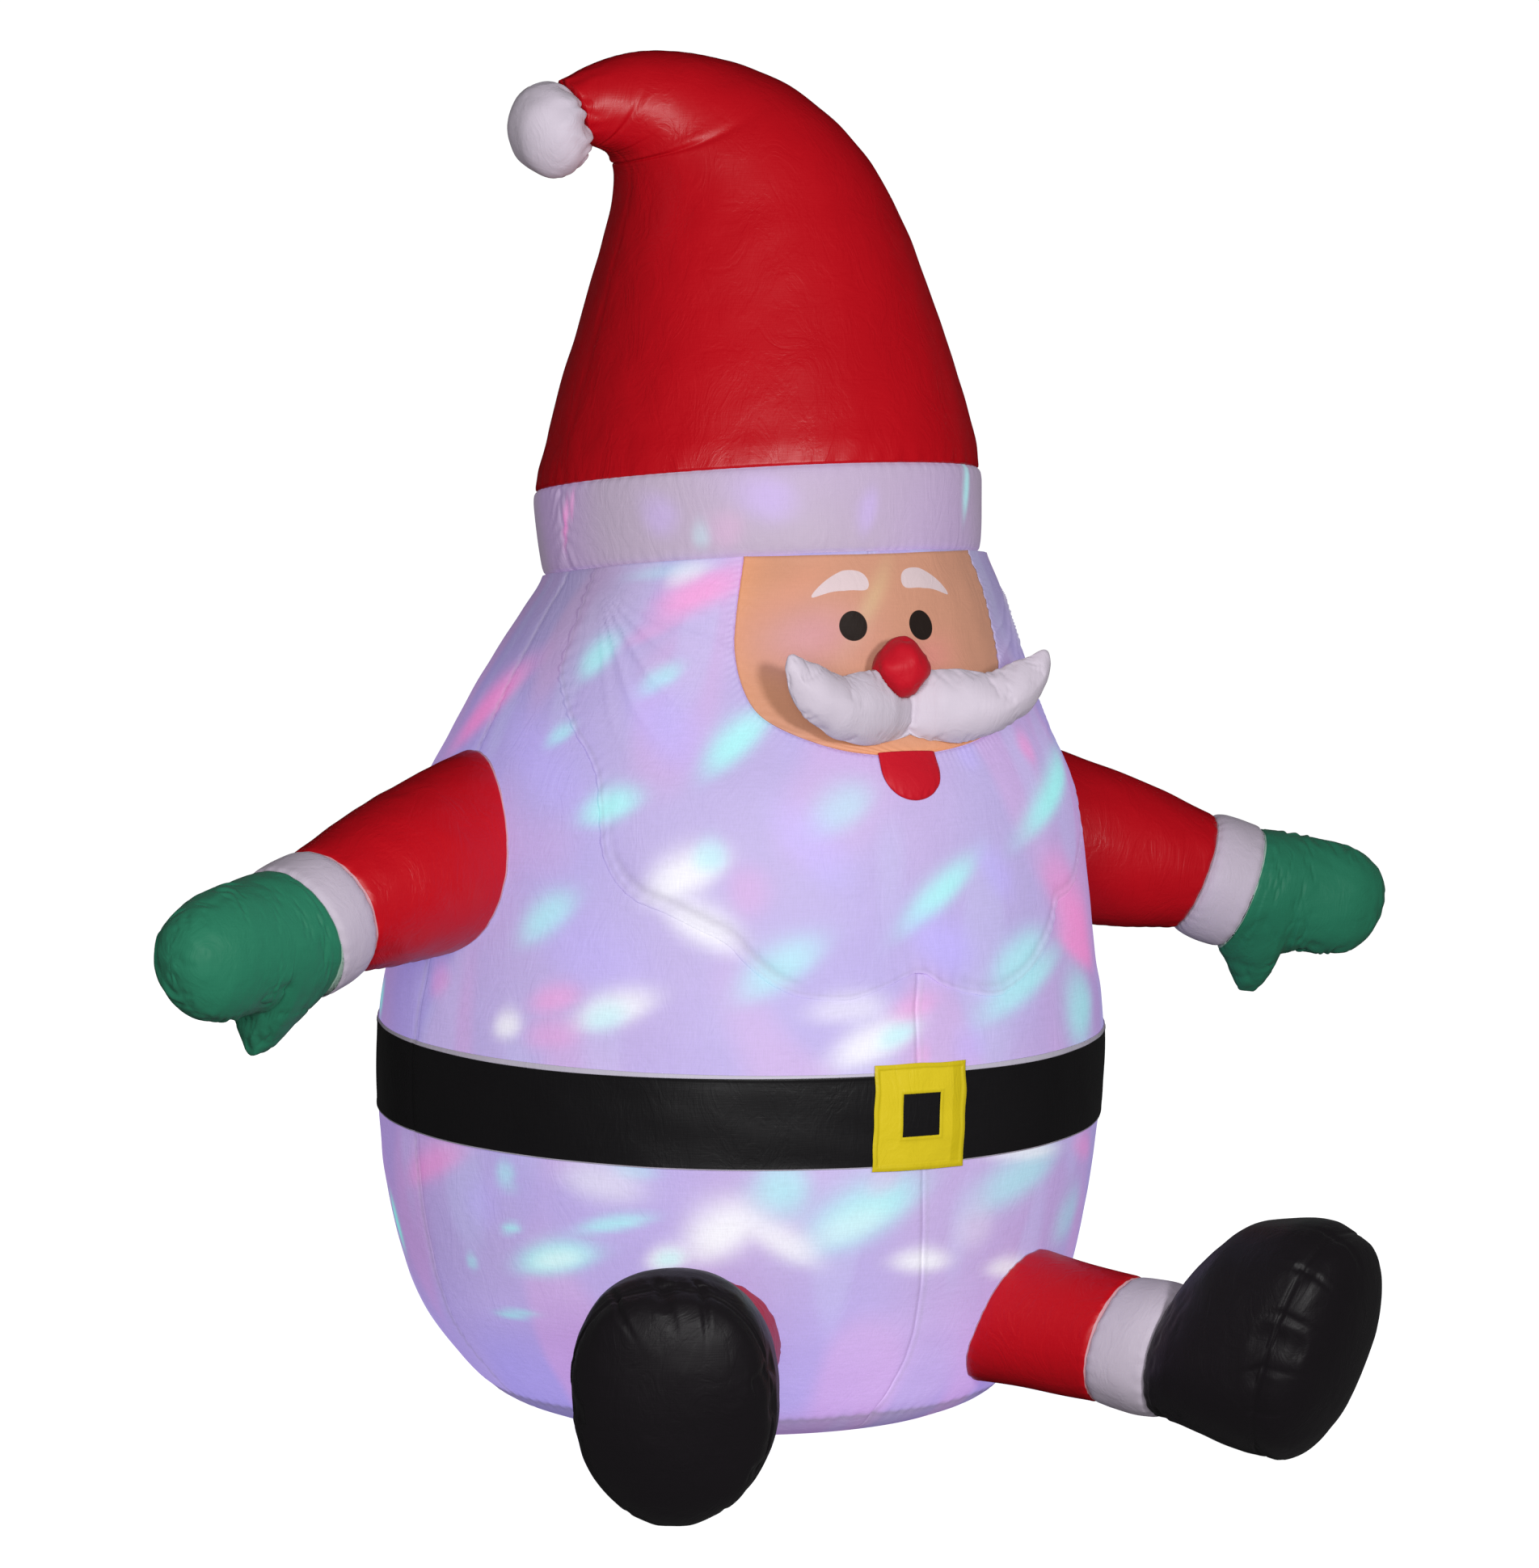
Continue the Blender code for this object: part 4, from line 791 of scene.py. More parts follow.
face_ends = outline(FACE_OUTLINE, 2)
print("the face's edge runs from", face_ends[0].round(2), "to", face_ends[1].round(2))

# %% [markdown]
# ## Beard
# The bib is a second layer that billows off the trunk by half a centimetre. At its edge the thread holds it down,
# so the cloth gathers in small puckers across the edge, and long drag lines run from its upper corners, where it
# hangs from the brim.

# %% Beard
BEARD_PUFF = 0.006
BEARD_COLUMNS = 460


def fold_of(edge, spots):
    """The lip along the lower edge of the scallops: its crest at the edge and the valley behind it. The far
    scallops have half of it."""
    span = between(-56.0, -46.0, spots) * between(-19.0, -27.0, spots)
    span = span + 0.5 * between(3.0, 8.0, spots) * between(50.0, 44.0, spots)
    return span * bump_of(edge - 0.005, 0.006), span * bump_of(edge - 0.0175, 0.0065)


def drag_lines(spots, levels, place, edge):
    """Lines that fan out from both upper corners: the sine of the angle round a corner, sharpened to a ridge."""
    lift = np.zeros_like(spots)
    for corner, level, first, last in ((-72.0, 1.30, -62, -12), (70.0, 1.30, -165, -120)):
        u, v = np.radians(spots - corner) * 0.42, levels - level
        away, angle = np.hypot(u, v), np.degrees(np.arctan2(v, u))
        fan = between(first - 8, first + 12, angle) * (1 - between(last - 12, last + 8, angle))
        lines = np.abs(beat_of(place, np.radians(angle) * 21, 0.22, 64, 1.5))
        near = between(0.02, 0.07, away) * (1 - between(0.2, 0.40, away)) * between(0.0, 0.04, edge)
        lift = lift + 0.0052 * (1 - lines) ** 2 * fan * near
    return lift


def beard_lift(share, along, edge, spots, levels):
    """How far the bib stands off: a billow across its width, held down at both edges, with puckers and drag lines."""
    place = on_drum(spots, levels, 0.5)
    crest, valley = fold_of(edge, spots)
    lift = 0.0026 + (BEARD_PUFF - 0.0018) * np.sin(math.pi * np.clip(share, 0, 1)) ** 0.6 + 0.0026 * (crest - valley)
    beat = beat_of(place, along * 2 * math.pi / 0.024, 0.09, 61, 2.2)
    lift = lift + 0.0011 * beat * dying(edge, 0.018) * np.clip(0.6 + 0.7 * ripples(place, 0.14, 62), 0.0, 1.3)
    lift = lift + 0.0009 * beat_of(place, along * 2 * math.pi / 0.019, 0.07, 63, 2.0) * dying(share * 0.30, 0.014)
    lift = lift + drag_lines(spots, levels, place, edge)
    lift = lift + 0.0022 * ripples(place, 0.11, 65) * dying(edge, 0.05) * between(1.0, 0.8, levels)
    return np.maximum(lift, THINNEST)


outer = outline(BEARD_OUTLINE, BEARD_COLUMNS)
inner = outline(FACE_OUTLINE, BEARD_COLUMNS, 0.0015)
across = stretches((0, 0.08, 0.92, 1.0), (6, 48, 10))
grid = blend(inner[:, None], outer[:, None], across[None])
grid[..., 1] = np.minimum(grid[..., 1], brim_level(grid[..., 0]))
spots, levels = grid[..., 0], grid[..., 1]
run = np.concatenate([[0.0], np.cumsum(np.hypot(*(np.diff(outer, axis=0) / (DEGREES_A_METRE, 1.0)).T))])
width = np.hypot(*((outer - inner) / (DEGREES_A_METRE, 1.0)).T)
edge = (1.0 - across)[None, :] * width[:, None]
lift = beard_lift(across[None, :], run[:, None], edge, spots, levels)
crest, valley = fold_of(edge, spots)
# Painted highlight: a pale line along the hem and on the crest of the fold. Painted shade in the fold's valley; the
# darker line 6.5 mm in is the stitching.
hem = bump_of(edge, 0.0022) * 0.42 + crest * 0.12
stitch_and_fold_shade = bump_of(edge - 0.0065, 0.0022) * 0.18 + valley * 0.30
light = trunk_glow(spots, levels) * (1 - stitch_and_fold_shade)[..., None] + np.array([0.30, 0.28, 0.34]) * hem[..., None]
dress(skin_piece("beard_skin", spots, levels, lift, lilac_cloth, glow=light), "beard")

# %% [markdown]
# ## Face
# Peach cloth with printed eyes and brows. Print has a sharp edge, so the shapes are not in the mesh: the material
# asks how far a point is from an oval or from a bent bar, in the patch's own bearings and heights, kept on the
# mesh as an attribute. The inside light makes the left rim orange and leaves faint green and pink tints.

# %% Face material
def print_face(start, base):
    """Lays the brows and the eyes over the peach cloth. An oval's distance is the root of two squares added."""
    bearing, height, _ = start.attribute("cloth")
    colour, cover = base, None
    for x in (-8.5, 8.8):
        oval = (((bearing - x) / 3.25) ** 2.0 + ((height - 1.230) / 0.0225) ** 2.0) ** 0.5
        eye = 1.0 - oval.step(0.97, 1.02)
        colour = eye.mix(colour, (0.017, 0.011, 0.009))
        cover = eye if cover is None else cover.maths('MAXIMUM', eye)
    for side, x, z in ((-1, -11.0, 1.296), (1, 12.1, 1.299)):
        away = (bearing - x) * (side / 7.0)
        reach = away * away
        bend = reach * -0.0125 + away * -0.0095 + z
        thick = 0.0150 - (away + 0.1).maths('ADD', 0.0, clamp=True) * 0.0085
        gap = ((height - bend) / thick) ** 2.0 + reach ** 3.0 * 0.93
        brow = 1.0 - gap.step(0.93, 1.05)
        colour = brow.mix(colour, (0.65, 0.52, 0.54))
        cover = cover.maths('MAXIMUM', brow)
    return colour, 1.0 - cover


face_cloth = cloth_material("face_cloth", (0.465, 0.235, 0.165), (0.40, 0.20, 0.14), crease=0.5, glow=1.0,
                            paint=print_face)

# %% Face
HALF_EDGE = 92
TINTS = ((-4.0, 1.262, 0.14, 0.03, 55, (0.20, 0.21, 0.09)), (-24.0, 1.275, 0.16, 0.05, 35, (0.30, 0.10, 0.05)),
         (10.0, 1.185, 0.10, 0.06, 10, (0.27, 0.06, 0.08)), (-19.0, 1.215, 0.15, 0.09, 10, (0.22, 0.10, 0.24)))
edge = outline(FACE_OUTLINE, 2 * HALF_EDGE)
share = np.linspace(0.0, 1.0, 130)
grid = blend(edge[:HALF_EDGE, None], edge[::-1][:HALF_EDGE, None], share[None])
spots, levels = grid[..., 0], grid[..., 1]
place = on_drum(spots, levels, 0.4)
near = np.minimum((np.minimum(share, 1 - share) * 0.46)[None, :], np.maximum(levels - 1.036, 0.0))
beat = beat_of(place, levels * 2 * math.pi / 0.017 + 60 * share[None, :] * (near < 0.03), 0.06, 71, 2)
lift = np.maximum(0.0026 + 0.0004 * ripples(place, 0.12, 72) + 0.0010 * beat * dying(near, 0.016), THINNEST)
warm = dying(np.maximum(spots + 34.0, 0), 7.0)[..., None]
low = dying(np.maximum(levels - 1.04, 0), 0.02)[..., None]
glow = np.array([0.15, 0.065, 0.035]) + np.array([0.24, 0.075, -0.01]) * np.maximum(warm, low * 0.9)
for x, z, length, width, tilt, tint in TINTS:
    lean = math.radians(tilt)
    u, v = np.radians(spots - x) * 0.4, levels - z
    a = (u * math.cos(lean) + v * math.sin(lean)) / (length / 2)
    b = (v * math.cos(lean) - u * math.sin(lean)) / (width / 2)
    glow = blend(glow, tint, np.exp(-a * a - b * b) * 0.8)
shade = 1.0 - between(0.2, 1.0, np.abs(spots - 4.0) / 34.0)[..., None] * 0.25
face = skin_piece("face_skin", spots, levels, lift, face_cloth, glow=np.maximum(glow * shade, 0.0),
                  cloth=np.stack([spots, levels, np.zeros_like(spots)], axis=-1))
dress(face, "face_panel")

# %% [markdown]
# ## Lip
# A red tongue-shaped patch below the moustache, sewn over the beard's upper edge.

# %% Lip
LIP_CENTRE = (-1.5, 1.018)
LIP_HALF = (5.7, 0.046)
angle = np.linspace(math.pi + 0.02, 2 * math.pi - 0.02, 60)
low = np.stack([LIP_CENTRE[0] + LIP_HALF[0] * np.cos(angle), LIP_CENTRE[1] + LIP_HALF[1] * np.sin(angle)], axis=1)
high = np.stack([low[:, 0], np.full(len(low), LIP_CENTRE[1] + 0.022)], axis=1)
grid = blend(low[:, None], high[:, None], np.linspace(0.0, 1.0, 36)[None])
edge = np.hypot((grid[..., 0] - LIP_CENTRE[0]) / LIP_HALF[0],
                np.minimum(grid[..., 1] - LIP_CENTRE[1], 0) / LIP_HALF[1])
lift = 0.0075 + 0.0065 * np.sqrt(np.clip(1.0 - edge ** 2, 0.0, 1.0))
lift = lift + 0.0006 * np.sin(grid[..., 0] * 4.3) * between(0.7, 1.0, edge)
dress(skin_piece("lip_skin", grid[..., 0], grid[..., 1], lift, nose_cloth, under=0.0068),
      "lower_lip")

# %% [markdown]
# ## Belt
# A black band 133 mm wide goes all the way round, a hand's breadth under the chest. Along both of its edges a strip
# of the lilac cloth's own seam shows as a pale grey hem. The band is one grid round the trunk; the hem is the same
# cloth's edge, coloured by how far a point is up the band.

# %% Belt
HEM = 0.006


def belt_colour(start, base):
    """Black in the middle, pale grey on the hems: the cloth attribute holds how far up the band a point is."""
    _, up, width = start.attribute("cloth")
    hem = (up - (1.0 - width)).step(-0.004, 0.004).maths('MAXIMUM', 1.0 - (up - 0.012).step(-0.004, 0.004))
    return hem.mix(base, (0.46, 0.43, 0.52)), None


belt_cloth = cloth_material("belt_cloth", (0.010, 0.0095, 0.0105), (0.005, 0.0045, 0.005), 0.42, 0.02, crease=0.35,
                            paint=belt_colour)
share = stretches((0, 0.06, 0.92, 1.0), (5, 18, 9))
level = (BELT_LOW - 0.002 + (BELT_WIDTH + 0.002 + HEM) * share) / TRUNK_HEIGHT
grid_share, grid_spot = np.meshgrid(level, np.linspace(-180.0, 180.0, 520, endpoint=False), indexing="ij")
middle = trunk_point(grid_spot, grid_share)
normal = trunk_normal(grid_spot, grid_share)
height = middle[..., 2]
up = np.broadcast_to(share[:, None], grid_spot.shape)
lift = 0.0026 + 0.0006 * ripples(on_drum(grid_spot, height, RELIEF_RADIUS), 0.16, 81)
lift = lift + 0.0008 * bump_of(up, 0.05) + 0.001 * bump_of(up - 0.955, 0.02)
for seam in (-90.0, 90.0):
    lift = lift - 0.0016 * bump_of(turn_between(grid_spot, seam), 0.5)
plain = trunk_relief(grid_spot, height, sewn=False)
top = middle + normal * (plain + np.maximum(lift, THINNEST))[..., None]
low = middle + normal * (trunk_relief(grid_spot, height) + UNDER)[..., None]
wide = 0.028 + 0.028 * sum(share_of * bump_of(turn_between(grid_spot, seen), reach)
                           for seen, reach, share_of in ((-62, 26, 1.0), (22, 20, 1.0), (150, 40, 0.7)))
band_piece("belt_band", top, low, belt_cloth, np.stack([grid_spot, up, wide], axis=-1), "belt")

# %% [markdown]
# ## Buckle
# A square frame cut from yellow cloth, hemmed inside and out, laid over the belt and longer than the belt is wide.
# It is one ring-shaped sheet: a grid that goes round the square, its rows from the window's edge to the outer
# edge.

# %% Buckle
BUCKLE_BEARING = -2.6
BUCKLE = {"half": 0.0765, "low": 0.4295, "high": 0.5875}
WINDOW = {"half": 0.031, "low": 0.4795, "high": 0.5435}
BUCKLE_TURN = 0.572


def square(half, low, high, count=54):
    """Points round a square outline, evenly by side: sideways metres from the middle, and heights."""
    side = np.arange(count) / count
    across = np.concatenate([-half + 2 * half * side, np.full(count, half), half - 2 * half * side,
                             np.full(count, -half)])
    height = np.concatenate([np.full(count, low), low + (high - low) * side, np.full(count, high),
                             high - (high - low) * side])
    return np.stack([across, height], axis=-1)


def buckle_colour(start, base):
    """Two layers of yellow show darker on the hems, with a doubled strip down the right side."""
    out, across, _ = start.attribute("cloth")
    hem = out.step(0.80, 0.83) * 0.30 + (1.0 - out.step(0.10, 0.13)) * 0.25
    return hem.maths('MAXIMUM', across.step(0.052, 0.054) * 0.45).mix(base, (0.42, 0.33, 0.0)), None


buckle_cloth = cloth_material("buckle_cloth", (0.66, 0.52, 0.018), (0.56, 0.43, 0.01), 0.42, 0.03, paint=buckle_colour)
out = stretches((0, 0.12, 0.82, 1.0), (6, 13, 8))[:, None]
grid = blend(square(**WINDOW)[None], square(**BUCKLE)[None], out)
across, height = grid[..., 0], grid[..., 1]
place = np.stack([across, np.zeros_like(across), height], axis=-1)
wobble = 0.0012 * ripples(place, 0.05, 91) * out
across, height = across + wobble, height + 0.7 * wobble
spots = BUCKLE_BEARING + np.degrees(across / BUCKLE_TURN)
lift = (0.0054 + 0.0007 * ripples(place, 0.06, 92) + 0.0011 * bump_of(out - 0.9, 0.06)
        + 0.0008 * bump_of(out - 0.07, 0.05) - 0.0007 * bump_of(out - 0.81, 0.02))
top = on_trunk(spots, height, lift, sewn=False)
low = on_trunk(spots, height, np.full(lift.shape, 0.0046), sewn=False)
band_piece("buckle_frame", top, low, buckle_cloth, np.stack([np.broadcast_to(out, across.shape), across, height], -1),
           "belt_buckle", [2 * BUCKLE["half"], BUCKLE["high"] - BUCKLE["low"]])

# %% [markdown]
# ## Blowing up a bag
# A sewn bag gets its form from air: the seams hold, and the cloth between them, cut a little larger, swells and
# wrinkles. Blender's cloth does the same. A coarse copy of the piece is a stand-in: its seams are pinned, its cloth
# is a few per cent too large, gravity is off and air presses from inside for twenty frames. Then the way each of its
# points has moved is carried over to the fine grid on a smooth curve, and the stand-in goes away.

# %% Air in a bag
def carry(fine, picked, around=False):
    """Weights that carry values at the picked rows to all fine ones, on a Catmull-Rom curve through them."""
    count = len(picked)
    where = np.arange(fine) / (fine / count) if around else np.interp(np.arange(fine), picked, np.arange(count))
    i = np.floor(where).astype(int)
    t = where - i
    weights = np.zeros((fine, count))
    for shift, share in ((-1, -t / 2 + t ** 2 - t ** 3 / 2), (0, 1 - 2.5 * t ** 2 + 1.5 * t ** 3),
                         (1, t / 2 + 2 * t ** 2 - 1.5 * t ** 3), (2, -t ** 2 / 2 + t ** 3 / 2)):
        at = (i + shift) % count if around else np.clip(i + shift, 0, count - 1)
        np.add.at(weights, (np.arange(fine), at), share)
    return weights


def blown(name, points, held, rows, step, spare=0.03, air=4.0, reach=0.009, keep=0.35):
    """The grid after air has filled it. held is one where a seam holds; spare is how much too large the cloth is.

    A point moves by the simulated way, at most reach; of the slow swelling, which the shape already has, only the
    share keep stays, so that mostly the wrinkles are added.
    """
    clock = time.time()
    picked = np.round(np.linspace(0, len(points) - 1, rows)).astype(int)
    coarse = points[picked][:, ::step]
    pinned = np.broadcast_to(held, points.shape[:2])[picked][:, ::step] > 0.5
    bag = mesh_piece(name + "_stand_in", coarse, white_cloth)
    group = bag.vertex_groups.new(name="held")
    group.add([int(n) for n in np.flatnonzero(pinned.ravel())], 1.0, 'REPLACE')
    air_in = bag.modifiers.new("air", 'CLOTH')
    air_in.settings.vertex_group_mass = "held"
    air_in.settings.use_pressure = True
    air_in.settings.uniform_pressure_force = air
    air_in.settings.effector_weights.gravity = 0.0
    air_in.settings.shrink_min = air_in.settings.shrink_max = -spare
    air_in.settings.bending_stiffness = 0.02
    air_in.settings.mass = 0.15
    air_in.settings.quality = 4
    for number in range(1, 21):
        bpy.context.scene.frame_set(number)
    shape = bag.evaluated_get(bpy.context.evaluated_depsgraph_get()).data
    found = np.empty(len(shape.vertices) * 3)
    shape.vertices.foreach_get("co", found)
    move = found.reshape(-1, 3)[:pinned.size].reshape(coarse.shape) - coarse
    spare_mesh = bag.data
    bpy.data.objects.remove(bag)
    bpy.data.meshes.remove(spare_mesh)
    bpy.context.scene.frame_set(1)
    normal = outward(coarse)
    swell = (move * normal).sum(axis=-1)
    slow = swell
    for _ in range(14):
        slow = (np.roll(slow, 1, 1) + np.roll(slow, -1, 1) + np.concatenate([slow[:1], slow[:-1]])
                + np.concatenate([slow[1:], slow[-1:]]) + slow) / 5
    slow = slow * (1.0 - pinned)
    move = move - normal * ((1.0 - keep) * slow)[..., None]
    far = np.linalg.norm(move, axis=-1, keepdims=True)
    move = move * np.minimum(1.0, reach / np.maximum(far, 1e-9))
    fine = np.einsum("ap,pqk->aqk", carry(len(points), picked), move)
    fine = np.einsum("bq,aqk->abk", carry(points.shape[1], np.arange(0, points.shape[1], step), True), fine)
    print(f"{name}: air moved it by up to {1000 * far.max():.1f} mm, kept {1000 * np.abs(fine).max():.1f} mm, "
          f"in {time.time() - clock:.1f} s")
    return points + fine


# %% [markdown]
# ## Moustache
# Two panels sewn round their edge and blown up: a pillow. Its section is a lens, since cloth between two seams
# stands in an arch and meets itself at a sharp edge. The tips turn up and stand off the cheeks.

# %% Moustache
NOSE_WIDTH = 0.088
NOSE_HEIGHT = 0.09
NOSE_DEPTH = 0.08
NOSE_LEVEL = 1.154
NOSE_STAND = 0.045
NOSE_BEARING = -1.9
MOUSTACHE_SPAN = 0.458
MOUSTACHE_DEPTH = 0.075
MOUSTACHE_HEIGHT = 1.115
RISE = [(0.0, 0.0), (0.2, -0.003), (0.34, -0.0045), (0.55, -0.003), (0.67, 0.0075), (0.8, 0.0235), (0.9, 0.042),
        (1.0, 0.073)]
TALL = [(0.0, 0.046), (0.2, 0.054), (0.34, 0.056), (0.55, 0.048), (0.67, 0.0435), (0.8, 0.04), (0.9, 0.029),
        (1.0, 0.010)]
DEEP = [(0.0, 0.3), (0.1, 0.55), (0.2, 0.8), (0.5, 1.0), (0.75, 0.8), (0.92, 0.42), (1.0, 0.1)]
STAND = [(0.0, 0.267), (0.2, 0.373), (0.5, 0.507), (0.8, 0.667), (1.0, 0.747)]


def moustache_points(rows, cols):
    """Lens-shaped rings carried along a curve that rises to both tips; sine and a sharpened cosine draw the lens."""
    share = np.sin(np.linspace(-math.pi / 2, math.pi / 2, rows)) * 0.5 + np.linspace(-1, 1, rows) * 0.5
    s = np.abs(share)
    half = MOUSTACHE_SPAN / 2
    front = float(trunk_point(0.0, trunk_share(0.0, MOUSTACHE_HEIGHT))[1])
    slope = (smooth(RISE, np.minimum(s + 0.02, 1)) - smooth(RISE, np.maximum(s - 0.02, 0))) / (0.04 * half)
    lean = np.arctan(slope) * np.sign(share) * 0.6
    up = np.stack([-np.sin(lean), np.zeros(rows), np.cos(lean)], axis=1)
    centre = np.stack([share * half, front - MOUSTACHE_DEPTH * smooth(STAND, s),
                       MOUSTACHE_HEIGHT + smooth(RISE, s)], axis=1)
    angle = ring_angles(cols)
    c, v = np.cos(angle), np.sin(angle)
    deep = np.sign(c) * np.abs(c) ** 1.5
    end = np.sqrt(np.clip(1.0 - ((s - 0.975) / 0.025).clip(0, 1) ** 2, 0.0004, 1.0))
    forth = deep[None, :] * (MOUSTACHE_DEPTH / 2 * smooth(DEEP, s) * end)[:, None]
    tall = v[None, :] * (smooth(TALL, s) * end)[:, None]
    points = centre[:, None, :] + forth[..., None] * np.array([0.0, -1.0, 0.0]) + tall[..., None] * up[:, None, :]
    edge = np.abs(v)[None, :] ** 7
    beat = np.sin(share[:, None] * half * 2 * math.pi / 0.021 + 2.5 * ripples(points, 0.06, 101))
    relief = (-0.0006 + 0.0010 * beat * np.clip(0.5 + 0.8 * ripples(points, 0.08, 102), 0, 1.4)) * edge
    seam = bump_of(share[:, None] * half - 0.004, 0.004)
    gather = np.sin(angle[None, :] * 9 + 1.2) * np.exp(-np.abs(share[:, None] * half - 0.004) / 0.02)
    relief = relief - 0.0014 * seam + 0.0007 * gather + 0.0006 * ripples(points, 0.05, 103)
    return raised(points, relief)


ROWS, COLUMNS = 240, 96
points = moustache_points(ROWS, COLUMNS)
spin = np.degrees(ring_angles(COLUMNS))
seam_held = (np.abs(np.abs(turn_between(spin, 0.0)) - 90.0) < 2.0)[None, :] + np.zeros((ROWS, 1))
points = blown("moustache", points, seam_held, 76, 3, spare=0.012, reach=0.0035, keep=0.25)
# it lies on the face without sinking in, and leaves a seat for the nose: behind the nose's back, y is larger
points[..., 1] -= np.maximum(0.006 - outside_trunk(points), 0.0)
nose_share = trunk_share(NOSE_BEARING, NOSE_LEVEL)
nose_middle = trunk_point(NOSE_BEARING, nose_share) + trunk_normal(np.array(NOSE_BEARING), nose_share) * NOSE_STAND
off = np.hypot((points[..., 0] - nose_middle[0]) / (NOSE_WIDTH / 2),
               (points[..., 2] - nose_middle[2]) / (NOSE_HEIGHT / 2))
seat = nose_middle[1] + NOSE_DEPTH / 2 * np.sqrt(np.clip(1.0 - (off * 0.97) ** 2, 0.0, 1.0)) + 0.0012
points[..., 1] = np.where(off < 1.0, np.maximum(points[..., 1], seat), points[..., 1])
dress(mesh_piece("moustache_pillow", points, white_cloth), "moustache")

# %% [markdown]
# ## Nose
# A small diamond pillow in front of the moustache, four seams meeting at its corners.

# %% Nose
def nose_points(rows, cols):
    """Rings from the back pole to the front one; a ring is a circle flattened between its four corners."""
    turn = np.linspace(0.03, math.pi - 0.03, rows)[:, None]
    angle = ring_angles(cols)[None, :]
    radius = np.sin(turn) * (1.0 - 0.10 * np.sin(2 * angle) ** 2)
    points = nose_middle + np.stack([NOSE_WIDTH / 2 * radius * np.cos(angle),
                                     np.broadcast_to(np.cos(turn), radius.shape) * NOSE_DEPTH / 2,
                                     NOSE_HEIGHT / 2 * radius * np.sin(angle)], axis=-1)
    beat = beat_of(points, angle * 21, 0.04, 112, 2) * np.clip(ripples(points, 0.05, 113), 0, 1)
    return raised(points, 0.0010 * ripples(points, 0.028, 111) + 0.0013 * bump_of(turn - math.pi * 0.5, 0.42) * beat)


points = nose_points(72, 96)
corners = np.zeros(points.shape[:2])
corners[:10] = 1.0
corners[34:38, ::24] = 1.0
points = blown("nose", points, corners, 31, 4, spare=0.05, reach=0.004)
dress(mesh_piece("nose_pillow", points, nose_cloth), "nose")

# %% [markdown]
# ## Brim and hat
# The brim is a band of pale cloth round the head, seamed to the trunk below and to the hat above. The hat is a
# tall cone of red satin that bends over at its tip. Its rings shift sideways, rise, shrink and tilt, as measured.
# On the inside of the bend the cloth has nowhere to go, so it folds: three creases run out from there.

# %% Brim
BRIM_WIDTH = 0.132
BRIM_RADIUS = 0.3515
brim_middle = np.array([0.0, -LEAN * float(smooth(LEAN_PROFILE, 1.0)), TRUNK_HEIGHT])
brim_ahead = np.array([0.0, -math.cos(BRIM_TILT), math.sin(BRIM_TILT)])
brim_aside = np.array([math.cos(BRIM_ROLL), 0.0, math.sin(BRIM_ROLL)])
brim_up = unit(np.cross(brim_ahead, brim_aside))
if brim_up[2] < 0:
    brim_up = -brim_up


def brim_glow(bearing, share):
    """The light through the brim: pale, with violet in the middle, and a few streaks of pink and mint."""
    one = between(-0.9, 0.9, ripples(on_drum(bearing, share * 0.2), 0.7, 121))
    glow = blend((0.10, 0.075, 0.12), (0.13, 0.075, 0.20), one)
    rows = [(-88, 0.55, 0.075, 0.012, 72, "pink", .75), (-84, 0.75, 0.05, 0.008, 75, "pink", .5),
            (-55, 0.5, 0.06, 0.05, 40, "violet", .35), (-27, 0.62, 0.07, 0.07, 70, "violet", .45),
            (-2, 0.45, 0.07, 0.025, 75, "violet", .4), (-45, 0.25, 0.03, 0.03, 0, "mint", .3),
            (36, 0.72, 0.09, 0.018, 78, "mint", .7), (-38, 0.3, 0.06, 0.04, 60, "pink", .2),
            (75, 0.5, 0.06, 0.05, 40, "violet", .35), (110, 0.4, 0.08, 0.02, 70, "mint", .5),
            (150, 0.6, 0.09, 0.06, 60, "violet", .4), (-160, 0.5, 0.08, 0.02, 75, "pink", .5),
            (-125, 0.4, 0.07, 0.05, 60, "violet", .4)]
    rows = [(a, s * BRIM_WIDTH, *rest) for a, s, *rest in rows]
    return lay_light(glow, bearing, share * BRIM_WIDTH, BRIM_RADIUS, rows)


share = np.concatenate([[0.0, 0.004, 0.012, 0.025], np.linspace(0.045, 0.955, 30), [0.975, 0.988, 0.996, 1.0]])
grid_share, grid_spot = np.meshgrid(share, np.linspace(-180, 180, 480, endpoint=False), indexing="ij")
up = grid_share * BRIM_WIDTH
place = on_drum(grid_spot, up, 0.35)
relief = 0.0008 * ripples(place, 0.16, 122)
for seam in (-90.0, 90.0):
    off = np.radians(turn_between(grid_spot, seam)) * 0.35
    beat = beat_of(place, (up + 0.9 * np.abs(off)) * 2 * math.pi / 0.03, 0.08, 123, 2)
    relief = relief - 0.003 * bump_of(off, 0.004) + 0.0016 * beat * dying(np.abs(off), 0.028)
for edge in (0.0, 1.0):
    away = np.abs(grid_share - edge) * BRIM_WIDTH
    beat = beat_of(place, grid_spot * 1.7, 0.12, 124 + int(edge), 3.0)
    relief = relief + 0.0009 * beat * dying(away, 0.012) - 0.004 * bump_of(away, 0.0035)
swell = smooth([(0.0, 0.965), (0.15, 0.98), (0.5, 0.994), (0.85, 1.0), (1.0, 0.992)], grid_share) * BRIM_RADIUS
radius, turn = swell + relief, np.radians(grid_spot)
points = (brim_middle + brim_up * (0.0003 + up)[..., None] + brim_aside * (np.sin(turn) * radius)[..., None]
          + brim_ahead * (np.cos(turn) * radius)[..., None])
brim = mesh_piece("brim_band", points, pale_cloth, (5, 5), glow=brim_glow(grid_spot, grid_share))
dress(brim, "hat_brim")

